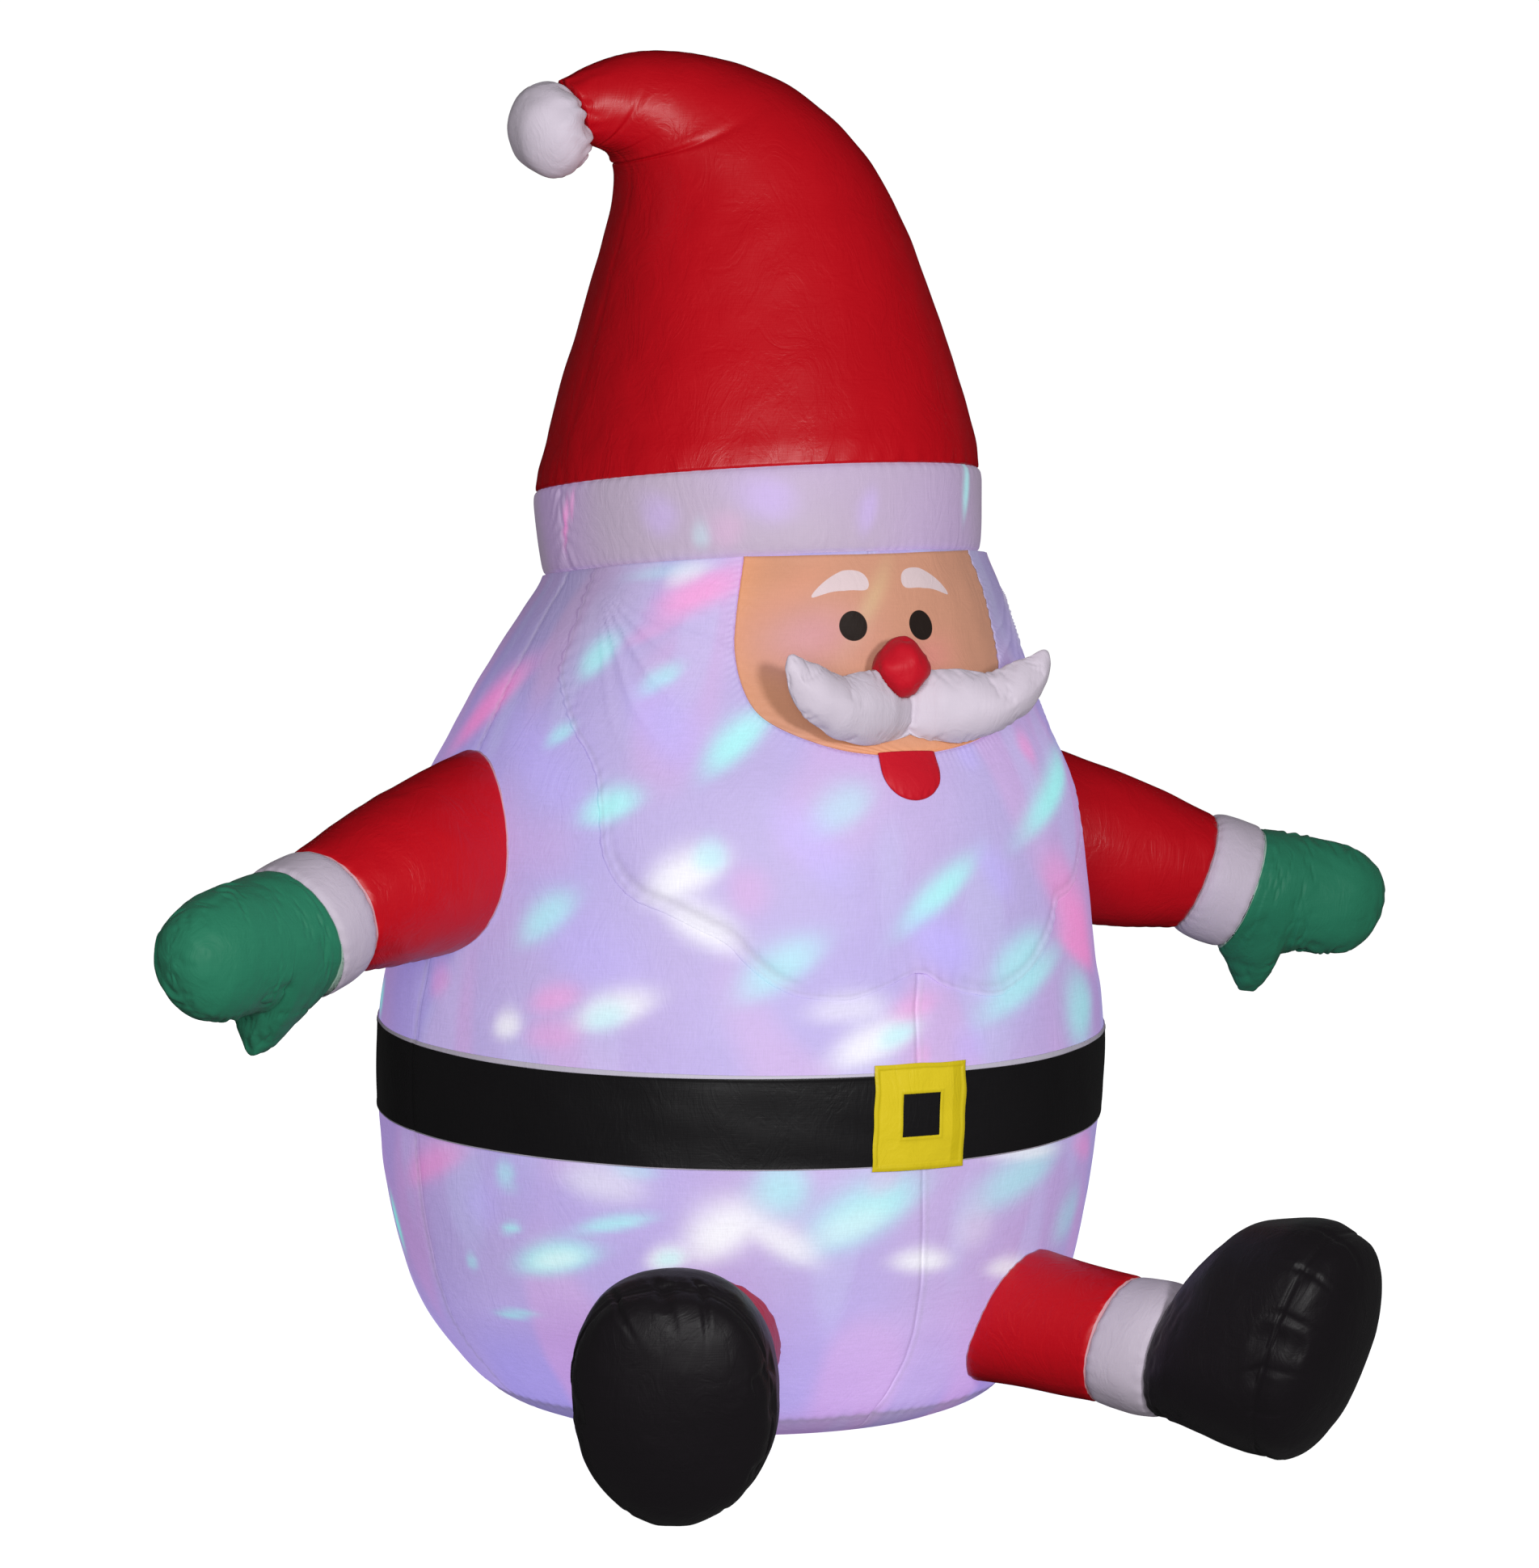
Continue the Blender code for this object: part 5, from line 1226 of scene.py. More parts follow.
# %% Hat
HAT_HEIGHT = 0.662
HAT_RADIUS = 0.35
HAT_RINGS = np.array([
    (0.0, 0.0, 0.995, 0.0), (0.002, 0.045, 0.985, 0.0), (0.005, 0.107, 0.957, 0.4), (0.006, 0.222, 0.898, 0.5),
    (0.008, 0.337, 0.829, 0.7), (0.006, 0.45, 0.761, 0.9), (0.001, 0.563, 0.691, 1.0), (-0.01, 0.658, 0.623, 1.2),
    (-0.027, 0.72, 0.584, 2.5), (-0.074, 0.781, 0.518, 11.0), (-0.163, 0.847, 0.411, 27.0),
    (-0.245, 0.873, 0.331, 40.5), (-0.337, 0.885, 0.259, 59.5), (-0.405, 0.876, 0.205, 74.0),
    (-0.461, 0.856, 0.155, 96.0), (-0.49, 0.846, 0.142, 109.0)])
hat_top = brim_middle + brim_up * (BRIM_WIDTH + 0.0006)


def hat_ring(t):
    """Middle, sideways and frontward vectors and radius of the hat's ring at t, counted along the measured rows."""
    t = np.asarray(t, float)
    rows = np.arange(len(HAT_RINGS))
    shift, rise, radius, tilt = (smooth(list(zip(rows, HAT_RINGS[:, n])), t) for n in range(4))
    fade = np.maximum(0.0, 1.0 - rise / 0.7)
    lean = np.radians(tilt) + BRIM_ROLL * fade
    back = BRIM_TILT * fade
    zero = np.zeros_like(t)
    side = np.stack([np.cos(lean), zero, np.sin(lean)], axis=-1)
    front = np.stack([zero, -np.cos(back), np.sin(back)], axis=-1)
    middle = hat_top + np.stack([shift * HAT_HEIGHT, 0.02 * np.minimum(rise, 0.4) * HAT_HEIGHT, rise * HAT_HEIGHT],
                                axis=-1)
    return middle, side, front, radius * HAT_RADIUS


def hat_points(cols):
    """Tilted rings up the hat, with the relief of its seams, its gathered edges and the creases of the bend."""
    t = np.concatenate([[0.0, 0.03, 0.08, 0.16], np.linspace(0.25, 8.0, 56)[:-1], np.linspace(8.0, 14.4, 124),
                        [14.6, 14.75, 14.87, 14.95, 15.0]])
    blur = 0.7 * between(5.0, 8.0, t) * between(15.0, 14.0, t)
    rings = [hat_ring(np.clip(t + shift * blur, 0, 15)) for shift in (-1.0, -0.5, 0.0, 0.5, 1.0)]
    middle, side, front, radius = (sum(ring[n] for ring in rings) / 5 for n in range(4))
    side = unit(side)
    spin = np.linspace(-math.pi, math.pi, cols, endpoint=False)
    flat = (np.sin(spin)[None, :, None] * side[:, None, :] + np.cos(spin)[None, :, None] * front[:, None, :])
    points = middle[:, None, :] + flat * radius[:, None, None]
    tt = t[:, None]
    degrees = np.degrees(spin)[None, :]
    relief = 0.0016 * ripples(points, 0.32, 131) + 0.0005 * ripples(points, 0.06, 132)
    # gathers over the brim
    low = dying(tt, 0.75)
    relief = relief + 0.0011 * beat_of(points, degrees * 1.15, 0.14, 133, 3) * low - 0.003 * bump_of(tt, 0.06)
    # side seams
    for seam in (90.0, -90.0):
        off = np.radians(turn_between(degrees, seam)) * np.maximum(radius[:, None], 0.03)
        beat = beat_of(points, tt * 22, 0.1, 134, 2)
        fade = between(0.04, 0.1, radius[:, None])
        relief = relief + fade * (-0.0010 * bump_of(off, 0.004) + 0.0004 * beat * np.exp(-np.abs(off) / 0.02))
    # creases from the inside of the bend, which is on Santa's right: each runs along a ring and fades outwards
    inside = np.radians(turn_between(degrees, -90.0))
    for number, (ring, wide, deep, reach) in enumerate(((9.35, 0.15, 0.0034, 1.35), (12.6, 0.12, 0.0024, 1.5),
                                                        (10.9, 0.12, 0.0009, 0.8))):
        bend = ring + 0.5 * np.abs(inside) ** 1.3 * (0.55, -0.1, 0.3)[number]
        fade = np.exp(-(np.abs(inside) / reach) ** 3)
        off = (tt - bend) / wide
        relief = relief - deep * fade * np.exp(-off ** 2) + 0.3 * deep * fade * np.exp(-((off - 2.2) / 1.5) ** 2)
    # gathers at the tip, where the pompom is tied on
    tip = np.exp(-(15.0 - tt) / 0.75)
    relief = relief + 0.0013 * tip * beat_of(points, spin[None, :] * 11, 0.05, 135, 1.5)
    return raised(points, relief)


dress(mesh_piece("hat_cone", hat_points(256), red_cloth, (4, 3)), "hat")

# %% [markdown]
# ## Pompom
# A white ball of cloth, taller than it is deep, tied to the hat's tip. The cloth gathers round the tie.

# %% Pompom
POMPOM_WIDTH = 0.104
POMPOM_DROP = 0.016
POMPOM_HEIGHT = 0.146
NECK_TURN = 0.7


def pompom_points(rows, cols):
    """A ball cut off at its neck: rings whose radius is a sine along the way from the tie, with fading gathers."""
    tip = hat_ring(15.0)[0]
    lean = math.radians(HAT_RINGS[-1][3])
    down = np.array([-math.sin(lean), 0.0, math.cos(lean)])
    across = np.array([math.cos(lean), 0.0, math.sin(lean)])
    start = tip + down * 0.0006 - across * POMPOM_DROP
    turn = np.linspace(NECK_TURN, math.pi - 0.04, rows)
    length = POMPOM_WIDTH / (1.0 + math.cos(NECK_TURN)) * 2
    along = (math.cos(NECK_TURN) - np.cos(turn)) * length / 2
    radius = np.sin(turn) * POMPOM_HEIGHT / 2
    spin = ring_angles(cols)
    ring = np.sin(spin)[:, None] * across + np.cos(spin)[:, None] * np.array([0.0, -1.0, 0.0])
    points = start + along[:, None, None] * down + ring[None] * radius[:, None, None]
    folds = beat_of(points, spin[None, :] * 13, 0.05, 141, 2.0) * np.exp(-along[:, None] / 0.022)
    relief = 0.0046 * folds + 0.0012 * ripples(points, 0.05, 142) - 0.004 * np.exp(-along[:, None] / 0.006)
    return raised(points, relief)


points = blown("pompom", pompom_points(80, 104), (np.arange(80) < 3)[:, None], 40, 4, spare=0.015, reach=0.004)
dress(mesh_piece("pompom_ball", points, white_cloth, (4, 0)), "pompom")

# %% [markdown]
# ## Arms
# A sleeve is a cone of red satin that leaves the trunk at the armhole. Where each of its long lines comes out of
# the trunk is found by stepping along it, so the first ring is the armhole's seam itself and nothing sinks into
# the body. A cuff and a mitten follow it along the same axis.

# %% Limb tools
SHOULDER = (-0.38, 0.005, 0.918)
WRIST = (-0.784, -0.139, 0.811)
PALM = (-0.855, -0.167, 0.783)
FINGERTIP = (-1.085, -0.26, 0.765)
SHOULDER_RADIUS = 0.15
WRIST_RADIUS = 0.098
CUFF_RADIUS = 0.106
PALM_RADIUS = 0.104
THUMB_BACK = 0.045
GAP = 0.0003


def axes(start, end):
    """Along, sideways and up for a limb that runs from start to end."""
    along = unit(np.asarray(end, float) - np.asarray(start, float))
    side = unit(np.cross(along, (0.0, 0.0, 1.0)))
    return along, side, np.cross(side, along)


def out_of_trunk(line_at, count, samples=220):
    """For each of a limb's long lines, the share of its length at which it comes out of the trunk."""
    share = np.linspace(0.0, 1.0, samples)
    off = outside_trunk(line_at(np.broadcast_to(share[:, None], (samples, count))))
    last_inside = samples - 1 - (off[::-1] < 0).argmax(axis=0)
    last_inside = np.clip(last_inside, 0, samples - 2)
    column = np.arange(count)
    a, b = off[last_inside, column], off[last_inside + 1, column]
    return share[last_inside] + (share[1] - share[0]) * np.clip(a / (a - b), 0, 1)


def seam_line(away, depth=0.0022, width=0.0035):
    """The pinch of a seam, by the distance from it."""
    return -depth * bump_of(away, width)


def gathers_from(points, spot, reach, count, seed, depth):
    """Creases that fan out from one spot: waves by the angle round it, fading over its reach."""
    away = points - np.asarray(spot, float)
    distance = np.linalg.norm(away, axis=-1)
    angle = np.arctan2(away[..., 2], np.hypot(away[..., 0], away[..., 1]) * np.sign(away[..., 0]))
    line = np.abs(np.sin(angle * count / 2 + 0.8 * ripples(points, 0.05, seed)))
    return -depth * (1 - line) ** 3 * np.exp(-((distance - reach * 0.25) / reach) ** 2) * between(0.003, 0.02, distance)


# %% Sleeves, cuffs and mittens
DROP = [(0.0, 1.0), (0.06, 1.18), (0.13, 1.44), (0.2, 1.68), (0.25, 1.68), (0.29, 1.4), (0.32, 1.02), (0.4, 0.97),
        (0.6, 0.99), (0.75, 0.94), (0.86, 0.78), (0.95, 0.48), (1.0, 0.2)]
MITTEN_RISE = [(0.0, 1.0), (0.1, 0.97), (0.3, 0.93), (0.6, 0.84), (0.8, 0.69), (0.93, 0.48), (1.0, 0.24)]
MITTEN_WIDE = [(0.0, 1.0), (0.15, 0.92), (0.4, 0.80), (0.7, 0.7), (0.88, 0.52), (0.96, 0.36), (1.0, 0.18)]
SLEEVE_RADIUS = [(0.0, 0.97), (0.3, 0.94), (0.55, 0.885), (0.78, 0.79), (0.92, 0.705),
                 (1.0, WRIST_RADIUS / SHOULDER_RADIUS)]


def sleeve_points(shoulder, wrist, palm, cols=140, rows=82):
    """Rings of a shrinking radius from the armhole to the wrist, turning into the cuff's own directions."""
    along, side, up = axes(wrist, palm)
    _, side0, up0 = axes(shoulder, wrist)
    angle = ring_angles(cols)

    def line_at(s):
        f = (s ** 2)[..., None]
        sd, uu = unit(side0 * (1 - f) + side * f), unit(up0 * (1 - f) + up * f)
        r = (smooth(SLEEVE_RADIUS, s) * SHOULDER_RADIUS)[..., None]
        centre = shoulder * (1 - s)[..., None] + wrist * s[..., None]
        return centre + sd * r * np.cos(angle)[:, None] + uu * r * np.sin(angle)[:, None]

    first = out_of_trunk(line_at, cols) + 0.001
    rest = np.linspace(0, 1, rows) ** 1.15
    s = first[None, :] * (1 - rest)[:, None] + rest[:, None]
    points = line_at(s)
    length = np.linalg.norm(wrist - shoulder)
    from_hole = (s - first[None, :]) * length
    from_cuff = (1 - s) * length
    relief = 0.0016 * ripples(points, 0.22, 151) + 0.0004 * ripples(points, 0.05, 152)
    beat = beat_of(points, angle[None, :] * 26, 0.1, 153)
    relief = relief + 0.0004 * beat * dying(from_hole, 0.016) - 0.0008 * bump_of(from_hole, 0.005)
    beat = beat_of(points, angle[None, :] * 20, 0.1, 154)
    relief = relief + 0.0008 * beat * dying(from_cuff, 0.014) + seam_line(from_cuff, 0.003, 0.004)
    under = np.abs(turn_between(np.degrees(angle), -95.0))[None, :] * 0.0026
    relief = relief + seam_line(under, 0.002) + 0.0008 * np.sin(from_hole * 260) * dying(under, 0.02)
    # long soft folds along the sleeve where it meets the cuff from above
    fold = np.exp(-((np.degrees(angle)[None, :] - 60) / 22) ** 2) * bump_of(from_cuff - 0.11, 0.07)
    relief = relief - 0.0022 * fold
    return raised(points, relief), np.minimum(from_hole * 0.5, from_cuff)


DRUM_STEPS = np.concatenate([[0.0, 0.01, 0.03, 0.06], np.linspace(0.1, 0.9, 20), [0.94, 0.97, 0.99, 1.0]])
DRUM_COLUMNS = 128


def drum_relief(points, edge, count, depth, size, seed):
    """A cuff's relief: unevenness, a pinch at both seams and puckers that run out from them."""
    beat = beat_of(points, ring_angles(DRUM_COLUMNS)[None, :] * count, 0.07, seed)
    return depth * ripples(points, size, seed + 1) + 0.0009 * beat * dying(edge, 0.010) + seam_line(edge, 0.003, 0.004)


def cuff_points(start, end, r0, r1, r2):
    """A short drum between two seams, fullest in the middle."""
    along, side, up = axes(start, end)
    length = np.linalg.norm(end - start)
    s, angle = DRUM_STEPS, ring_angles(DRUM_COLUMNS)
    radius = smooth([(0.0, r0), (0.25, r0 * 0.2 + r1 * 0.8), (0.55, r1), (0.85, r1 * 0.7 + r2 * 0.3), (1.0, r2)], s)
    ring = np.cos(angle)[:, None] * side + np.sin(angle)[:, None] * up
    points = start + (s * length)[:, None, None] * along + ring[None] * radius[:, None, None]
    under = np.abs(turn_between(np.degrees(angle), -95.0))[None, :] * 0.0018
    relief = drum_relief(points, np.minimum(s, 1 - s)[:, None] * length, 24, 0.0008, 0.09, 161)
    return raised(points, relief + seam_line(under, 0.0018))


def mitten_points(wrist, palm, tip, flip, cols=160, rows=180):
    """A pillow whose rings have their own half width, rise and drop; the drop swells into the thumb at the heel."""
    along, side, up = axes(wrist, palm)
    _, side1, up1 = axes(palm, tip)
    s = np.concatenate([[0.0, 0.004, 0.01, 0.02], np.linspace(0.03, 0.9, rows - 30),
                        0.9 + 0.1 * np.sin(np.linspace(0.02, 1, 26) * math.pi / 2)])
    f = np.minimum(1.0, s * 3)[:, None]
    sd, uu = unit(side * (1 - f) + side1 * f), unit(up * (1 - f) + up1 * f)
    centre = palm + along * (GAP * (1 - s))[:, None] + (tip - palm) * s[:, None]
    rise = smooth(MITTEN_RISE, s) * PALM_RADIUS
    wide = smooth(MITTEN_WIDE, s) * PALM_RADIUS
    drop = smooth(DROP, s) * PALM_RADIUS
    close = np.sqrt(np.clip(1 - ((s - 0.93) / 0.07).clip(0, 1) ** 2.2, 0.0009, 1.0))
    rise, wide, drop = rise * close, wide * close, drop * close
    narrow = np.where(drop <= PALM_RADIUS, 1.0, PALM_RADIUS / drop * 0.8)
    sway = THUMB_BACK * np.maximum(0.0, drop / PALM_RADIUS - 1.0) / 0.68 * (-1 if flip else 1)
    angle = ring_angles(cols)
    sn, cs = np.sin(angle)[None, :], np.cos(angle)[None, :]
    lower = np.where(sn < 0, 1.0 - (1.0 - narrow)[:, None] * sn ** 2, 1.0)
    away = cs * wide[:, None] * lower + np.where(sn < 0, sway[:, None] * sn ** 2, 0.0)
    tall = np.where(sn > 0, sn * rise[:, None], sn * drop[:, None])
    points = centre[:, None, :] + away[..., None] * sd[:, None, :] + tall[..., None] * uu[:, None, :]
    length = np.linalg.norm(tip - palm)
    from_cuff = s[:, None] * length
    relief = 0.0012 * ripples(points, 0.10, 171) + 0.0004 * ripples(points, 0.035, 172)
    relief = relief + seam_line(from_cuff, 0.003, 0.004)
    beat = beat_of(points, angle[None, :] * 22, 0.07, 173)
    relief = relief + 0.0005 * beat * dying(from_cuff, 0.012)
    # the edge seam: along the top, round the tip and back under the hand
    edge = np.abs(sn) ** 10 * between(0.1, 0.35, s[:, None]) + between(0.86, 0.97, s[:, None])
    beat = beat_of(points, s[:, None] * 62, 0.05, 174, 2.8)
    tuck = 0.0016 + 0.0010 * between(0.5, 0.9, s[:, None])
    relief = relief + (tuck * beat * np.clip(0.4 + ripples(points, 0.07, 175), 0, 1.4) - 0.0012) * np.clip(edge, 0, 1)
    # crook between thumb and hand, and the thumb's tip
    crook = palm + (tip - palm) * 0.315 - up1 * PALM_RADIUS * 1.0
    relief = relief + gathers_from(points, crook, 0.075, 7, 176, 0.0045)
    end = palm + (tip - palm) * 0.22 - up1 * PALM_RADIUS * 1.6
    relief = relief + gathers_from(points, end, 0.03, 8, 177, 0.0025)
    return raised(points, relief), np.broadcast_to(from_cuff, relief.shape)


def mirrored(point, flip):
    """The point, or its mirror image on Santa's left."""
    return np.asarray(point, float) * ((-1.0, 1.0, 1.0) if flip else (1.0, 1.0, 1.0))


for word, flip in (("right", False), ("left", True)):
    shoulder, wrist, palm, tip = (mirrored(p, flip) for p in (SHOULDER, WRIST, PALM, FINGERTIP))
    along = unit(palm - wrist)
    points, seam = sleeve_points(shoulder, wrist, palm)
    sleeve = mesh_piece(f"{word}_sleeve_cone", points, red_piped, (5, 4), cloth=border(seam))
    dress(sleeve, f"{word}_sleeve")
    points = cuff_points(wrist + along * GAP, palm - along * GAP, WRIST_RADIUS, CUFF_RADIUS, PALM_RADIUS)
    dress(mesh_piece(f"{word}_cuff_drum", points, shaded_cuff_cloth, (4, 4)), f"{word}_cuff")
    points, seam = mitten_points(wrist, palm, tip, flip)
    held = np.zeros(points.shape[:2])
    held[:12] = 1.0
    held[78:, (39, 40, 41, 119, 120, 121)] = 1.0
    points = blown(f"{word} mitten", points, held, 72, 4, spare=0.018, reach=0.005, keep=0.2)
    # nothing of the mitten reaches back past the cuff's end
    points = points + along * np.maximum(0.0004 - (points - palm) @ along, 0.0)[..., None]
    mitten = mesh_piece(f"{word}_mitten_pillow", points, green_cloth, (4, 0), cloth=border(seam))
    dress(mitten, f"{word}_mitten")

# %% [markdown]
# ## Legs and boots
# The legs lie nearly flat and point apart. A boot swells at once from the ankle, arches over the instep and comes
# down to a long egg-shaped sole that faces the viewer. The sole is its own panel: its seam is pulled in, and deep
# creases cross it at the toe.

# %% Legs, leg cuffs and boots
LEG_BEARINGS = {"right": -35.4, "left": 26.5}
HIP_LEVEL = 0.19
LEG_RADIUS = 0.1
LEG_TILT = 14.0
LEG_END = 0.6875
LEG_END_LEVEL = 0.15
LEG_CUFF_RADIUS = 0.104
ANKLE_REACH = 0.782
ANKLE_LEVEL = 0.139
ANKLE_TILT = 10.6
SOLE_REACH = 1.0
SOLE_HEIGHT = 0.362
SOLE_WIDTH = 0.276
SOLE_TILT = 18.2
SOLE_BULGE = 0.077
SOLE_LEVEL = SOLE_HEIGHT / 2 * math.cos(math.radians(SOLE_TILT))


def squared(angle, power):
    """Cosine and sine of a ring that gets squarer as the power rises over 2."""
    c, s = np.cos(angle), np.sin(angle)
    return np.sign(c) * np.abs(c) ** (2 / power), np.sign(s) * np.abs(s) ** (2 / power)


def leg_grid(bearing, reach, level, tilt, wide, rise, drop, box, cols):
    """Rings across a leg: each has its reach from the axis, its height, its tilt and three half sizes."""
    along, side = level_ways(bearing)
    spin = ring_angles(cols)
    lean = np.radians(tilt)[..., None]
    up = along * np.sin(lean) + UP * np.cos(lean)
    power = np.asarray(box, float)[..., None]
    c, s = np.cos(spin), np.sin(spin)
    cb, sb = squared(spin, power)
    c, s = np.where(s > 0, cb, c), np.where(s > 0, sb, s)
    tall = np.where(s > 0, s * rise[..., None], s * drop[..., None])
    return (along * reach[..., None, None] + UP * level[..., None, None]
            + (c * wide[..., None])[..., None] * side + tall[..., None] * up[..., None, :])


def leg_points(bearing, cols=132, rows=54):
    """A drum from the trunk to the cuff, starting on the trunk's surface."""
    spin = ring_angles(cols)
    along, side = level_ways(bearing)
    start, stop = 0.33, LEG_END - GAP

    def line_at(f):
        share = smooth([(0, 0), (0.336, 0.35), (0.7, 0.7), (1, 1)], f)
        r = LEG_RADIUS * smooth([(0, 1.16), (0.336, 1.12), (0.7, 1.04), (1, 1)], f)
        lean = np.radians(LEG_TILT * share)
        up = along * np.sin(lean)[..., None] + UP * np.cos(lean)[..., None]
        level = HIP_LEVEL + (LEG_END_LEVEL - HIP_LEVEL) * share
        return (along * (start + (stop - start) * f)[..., None] + UP * level[..., None]
                + side * (r * np.cos(spin))[..., None] + up * (r * np.sin(spin))[..., None])

    first = out_of_trunk(line_at, cols) + 0.002
    rest = np.linspace(0, 1, rows)
    f = first[None, :] * (1 - rest)[:, None] + rest[:, None]
    points = line_at(f)
    from_hole, from_cuff = (f - first[None, :]) * (stop - start), (1 - f) * (stop - start)
    relief = 0.0012 * ripples(points, 0.16, 181)
    beat = beat_of(points, spin[None, :] * 22, 0.08, 182)
    relief = relief + 0.0009 * beat * dying(from_hole, 0.014) - 0.0015 * bump_of(from_hole, 0.005)
    relief = relief + 0.0008 * beat * dying(from_cuff, 0.012) + seam_line(from_cuff, 0.003, 0.004)
    return raised(points, relief), np.minimum(from_hole, from_cuff)


def leg_cuff_points(bearing):
    """A short drum from the trouser to the boot."""
    s = DRUM_STEPS
    r = smooth([(0, LEG_RADIUS), (0.25, LEG_CUFF_RADIUS * 0.99), (0.6, LEG_CUFF_RADIUS), (1.0, LEG_RADIUS)], s)
    points = leg_grid(bearing, LEG_END + GAP + s * (ANKLE_REACH - LEG_END - 2 * GAP),
                      LEG_END_LEVEL + s * (ANKLE_LEVEL - LEG_END_LEVEL), LEG_TILT + s * (ANKLE_TILT - LEG_TILT),
                      r, r, r, np.full(len(s), 2.0), DRUM_COLUMNS)
    return raised(points, drum_relief(points, np.minimum(s, 1 - s)[:, None] * 0.095, 20, 0.0009, 0.1, 183))


HALF_SOLE = SOLE_HEIGHT / 2
THIN = LEG_RADIUS / HALF_SOLE
BOOT_STEPS = (0.0, 0.1, 0.25, 0.45, 0.7, 0.85, 1.0)
BOOT_RISE = list(zip(BOOT_STEPS, (THIN, 0.72, 0.95, 1.12, 1.14, 1.11, 1.0)))
BOOT_WIDE = list(zip(BOOT_STEPS, (LEG_RADIUS / SOLE_WIDTH * 2, 0.84, 0.94, 1.0, 1.02, 1.02, 1.0)))
BOOT_DROP = list(zip(BOOT_STEPS, THIN + (1.0 - THIN) * np.array([0.0, 0.05, 0.18, 0.4, 0.72, 0.88, 1.0])))


def boot_points(bearing, creases, cols=192):
    """Rings from the ankle to the sole's seam, then shrinking rings that bulge out over the sole to its middle."""
    s = stretches((0, 0.1, 0.9, 1.0), (12, 66, 20))
    upper = leg_grid(bearing, ANKLE_REACH + GAP + s * (SOLE_REACH - ANKLE_REACH),
                     ANKLE_LEVEL + s * (SOLE_LEVEL - ANKLE_LEVEL),
                     ANKLE_TILT + s * (SOLE_TILT - ANKLE_TILT), smooth(BOOT_WIDE, s) * SOLE_WIDTH / 2,
                     smooth(BOOT_RISE, s) * HALF_SOLE, smooth(BOOT_DROP, s) * HALF_SOLE,
                     2.0 + 0.5 * np.minimum(1.0, s * 3), cols)
    d = np.sin(np.linspace(0.02, 1, 66) * math.pi / 2) ** 1.25
    shrink = np.maximum((1.0 - d ** 2.2), 0.0) ** (1 / 2.2)
    shrink[-1] = 0.012
    lean = math.radians(SOLE_TILT)
    sole = leg_grid(bearing, SOLE_REACH + d * SOLE_BULGE * math.cos(lean), SOLE_LEVEL - d * SOLE_BULGE * math.sin(lean),
                    np.full(len(d), SOLE_TILT), SOLE_WIDTH / 2 * shrink, HALF_SOLE * shrink, HALF_SOLE * shrink,
                    np.full(len(d), 2.5), cols)
    points = np.concatenate([upper, sole])
    from_seam = np.concatenate([-(1 - s) * 0.24, (1 - shrink) * 0.17])[:, None]
    away = np.abs(from_seam)
    spin = np.degrees(ring_angles(cols))[None, :]
    relief = 0.0014 * ripples(points, 0.14, 191) + 0.0003 * ripples(points, 0.04, 192)
    relief = relief + seam_line(away, 0.002, 0.004)
    beat = np.sin(np.radians(spin) * 31 + 2.5 * ripples(points, 0.08, 193))
    relief = relief + 0.0006 * beat * dying(away, 0.010) * np.clip(0.1 + ripples(points, 0.12, 194), 0.0, 1.3)
    from_ankle = np.concatenate([s * 0.22, np.full(len(d), 0.5)])[:, None]
    relief = relief + seam_line(from_ankle, 0.003, 0.004)
    relief = relief + 0.0007 * np.sin(np.radians(spin) * 19 + 1) * dying(from_ankle, 0.012)
    for place, shift, deep, wide in creases:
        deep = 0.5 * deep
        bend = turn_between(spin, place) + (from_seam - 0.02) * shift
        reach = bump_of(np.maximum(from_seam, 0), 0.028) * bump_of(np.minimum(from_seam, 0), 0.03)
        sides = bump_of(np.abs(bend) - 2.4 * wide, 1.3 * wide)
        relief = relief + deep * reach * (0.15 * sides - bump_of(bend, wide))
    return raised(points, relief)


CREASES = {"right": ((112, 180, 0.011, 1.6), (88, 160, 0.012, 1.7), (68, 260, 0.012, 1.8), (18, -120, 0.004, 1.5),
                     (160, 60, 0.003, 1.5), (-60, 90, 0.003, 1.6), (-120, 70, 0.003, 1.6)),
           "left": ((132, 90, 0.006, 1.6), (160, 60, 0.0075, 1.7), (182, 60, 0.0065, 1.5), (206, 50, 0.005, 1.4),
                    (95, 120, 0.005, 1.5), (60, 120, 0.004, 1.6), (20, 80, 0.003, 1.5), (-60, 90, 0.003, 1.6))}
for word, bearing_of_leg in LEG_BEARINGS.items():
    points, seam = leg_points(bearing_of_leg)
    leg = mesh_piece(f"{word}_leg_drum", points, red_piped, (4, 4), cloth=border(seam))
    dress(leg, f"{word}_leg")
    cuff = mesh_piece(f"{word}_leg_cuff_drum", leg_cuff_points(bearing_of_leg), shaded_cuff_cloth, (4, 4))
    dress(cuff, f"{word}_leg_cuff")
    points = boot_points(bearing_of_leg, CREASES[word])
    held = np.zeros(points.shape[:2])
    held[:10] = held[93:99] = 1.0
    points = blown(f"{word} boot", points, held, 60, 4, spare=0.012, reach=0.004, keep=0.1)
    points[..., 2] = np.maximum(points[..., 2], 0.0005)
    dress(mesh_piece(f"{word}_boot_pillow", points, black_cloth, (4, 0)), f"{word}_boot")

# %% [markdown]
# ## Studio
# A pale floor that rises far away into a pale wall all round, a small key lamp to the camera's right, a large soft
# one beside the camera, two weak ones behind the figure, and even light from all sides. The wall is round so that
# the figure can be seen from any side.

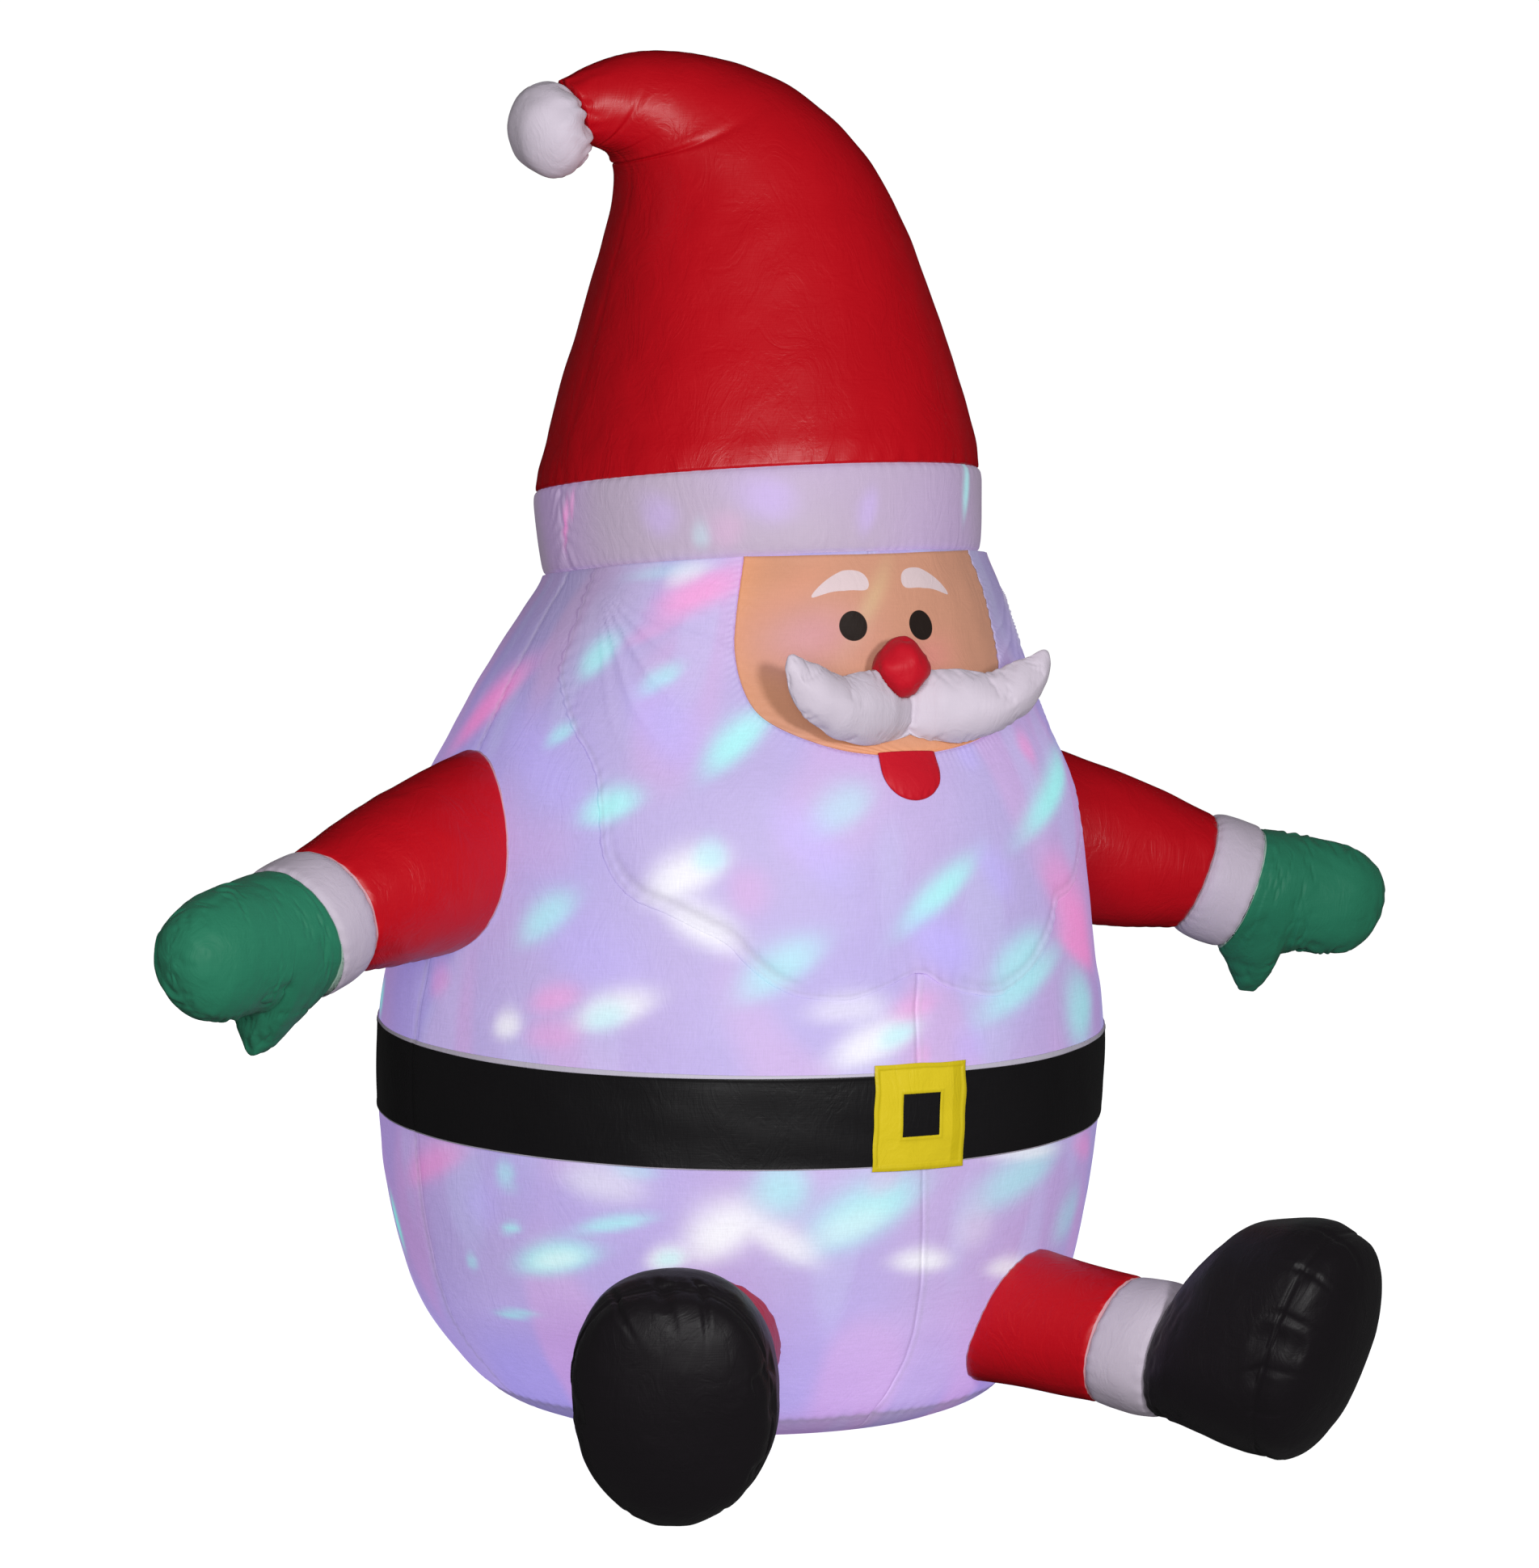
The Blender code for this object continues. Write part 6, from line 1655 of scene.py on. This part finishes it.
# %% Floor and lights
def floor_points(rings, cols):
    """A dish: flat to 16 m from the middle, then rising in a quarter circle. Radius and height by one angle."""
    flat = np.concatenate([np.linspace(0.02, 4, 12), np.linspace(5, 16, 8)])
    bend = np.linspace(0, math.pi / 2, rings)[1:]
    radius = np.concatenate([flat, 16 + 7 * np.sin(bend)])
    height = np.concatenate([np.zeros(len(flat)), 7 - 7 * np.cos(bend)])
    turn = ring_angles(cols)
    return np.stack([radius[:, None] * np.cos(turn), radius[:, None] * np.sin(turn),
                     np.broadcast_to(height[:, None], (len(radius), cols))], axis=-1)


paper = bpy.data.materials.new("floor_paper")
paper.use_nodes = True
sheet = paper.node_tree.nodes["Principled BSDF"]
sheet.inputs["Base Color"].default_value = (0.5, 0.5, 0.5, 1.0)
sheet.inputs["Roughness"].default_value = 1.0
sheet.inputs["Specular IOR Level"].default_value = 0.0
sheet.inputs["Emission Color"].default_value = (0.95, 0.95, 0.95, 1.0)
sheet.inputs["Emission Strength"].default_value = 1.0
dish = floor_points(24, 96)
floor = mesh_piece("floor", dish, paper, poles=(True, False))
floor.data.flip_normals()
floor.location.z = -0.002
floor.visible_diffuse = floor.visible_glossy = floor.visible_shadow = False

world = bpy.data.worlds.new("studio")
bpy.context.scene.world = world
world.use_nodes = True
world.node_tree.nodes["Background"].inputs["Color"].default_value = (1.0, 1.0, 1.0, 1.0)
world.node_tree.nodes["Background"].inputs["Strength"].default_value = 0.17
world.cycles_visibility.glossy = False


def soft_lamp(name, bearing, away, height, size, watts, aim=1.0, away_side="front"):
    """A square lamp at a bearing and a distance, turned towards the figure's chest; one behind has no highlight."""
    turn = math.radians(bearing)
    lamp = bpy.data.lights.new(name, 'AREA')
    lamp.shape, lamp.size, lamp.energy = 'SQUARE', size, watts
    thing = bpy.data.objects.new(name, lamp)
    bpy.context.scene.collection.objects.link(thing)
    spot = Vector((math.sin(turn) * away, -math.cos(turn) * away, height))
    thing.location = spot
    thing.rotation_euler = (Vector((0.0, 0.0, aim)) - spot).to_track_quat('-Z', 'Y').to_euler()
    thing.visible_camera = False
    thing.visible_glossy = away_side != "back"
    return thing


soft_lamp("key_lamp", -12.0, 6.2, 1.9, 0.6, 212.0)
soft_lamp("front_lamp", -36.0, 6.5, 1.6, 2.2, 180.0)
soft_lamp("right_back_lamp", -178.0, 6.5, 2.4, 2.5, 70.0, away_side="back")
soft_lamp("left_back_lamp", 112.0, 6.5, 2.4, 2.5, 60.0, away_side="back")
bpy.context.scene.view_settings.view_transform = 'Standard'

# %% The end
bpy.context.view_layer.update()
print("made in", round(time.time() - started, 1), "s")
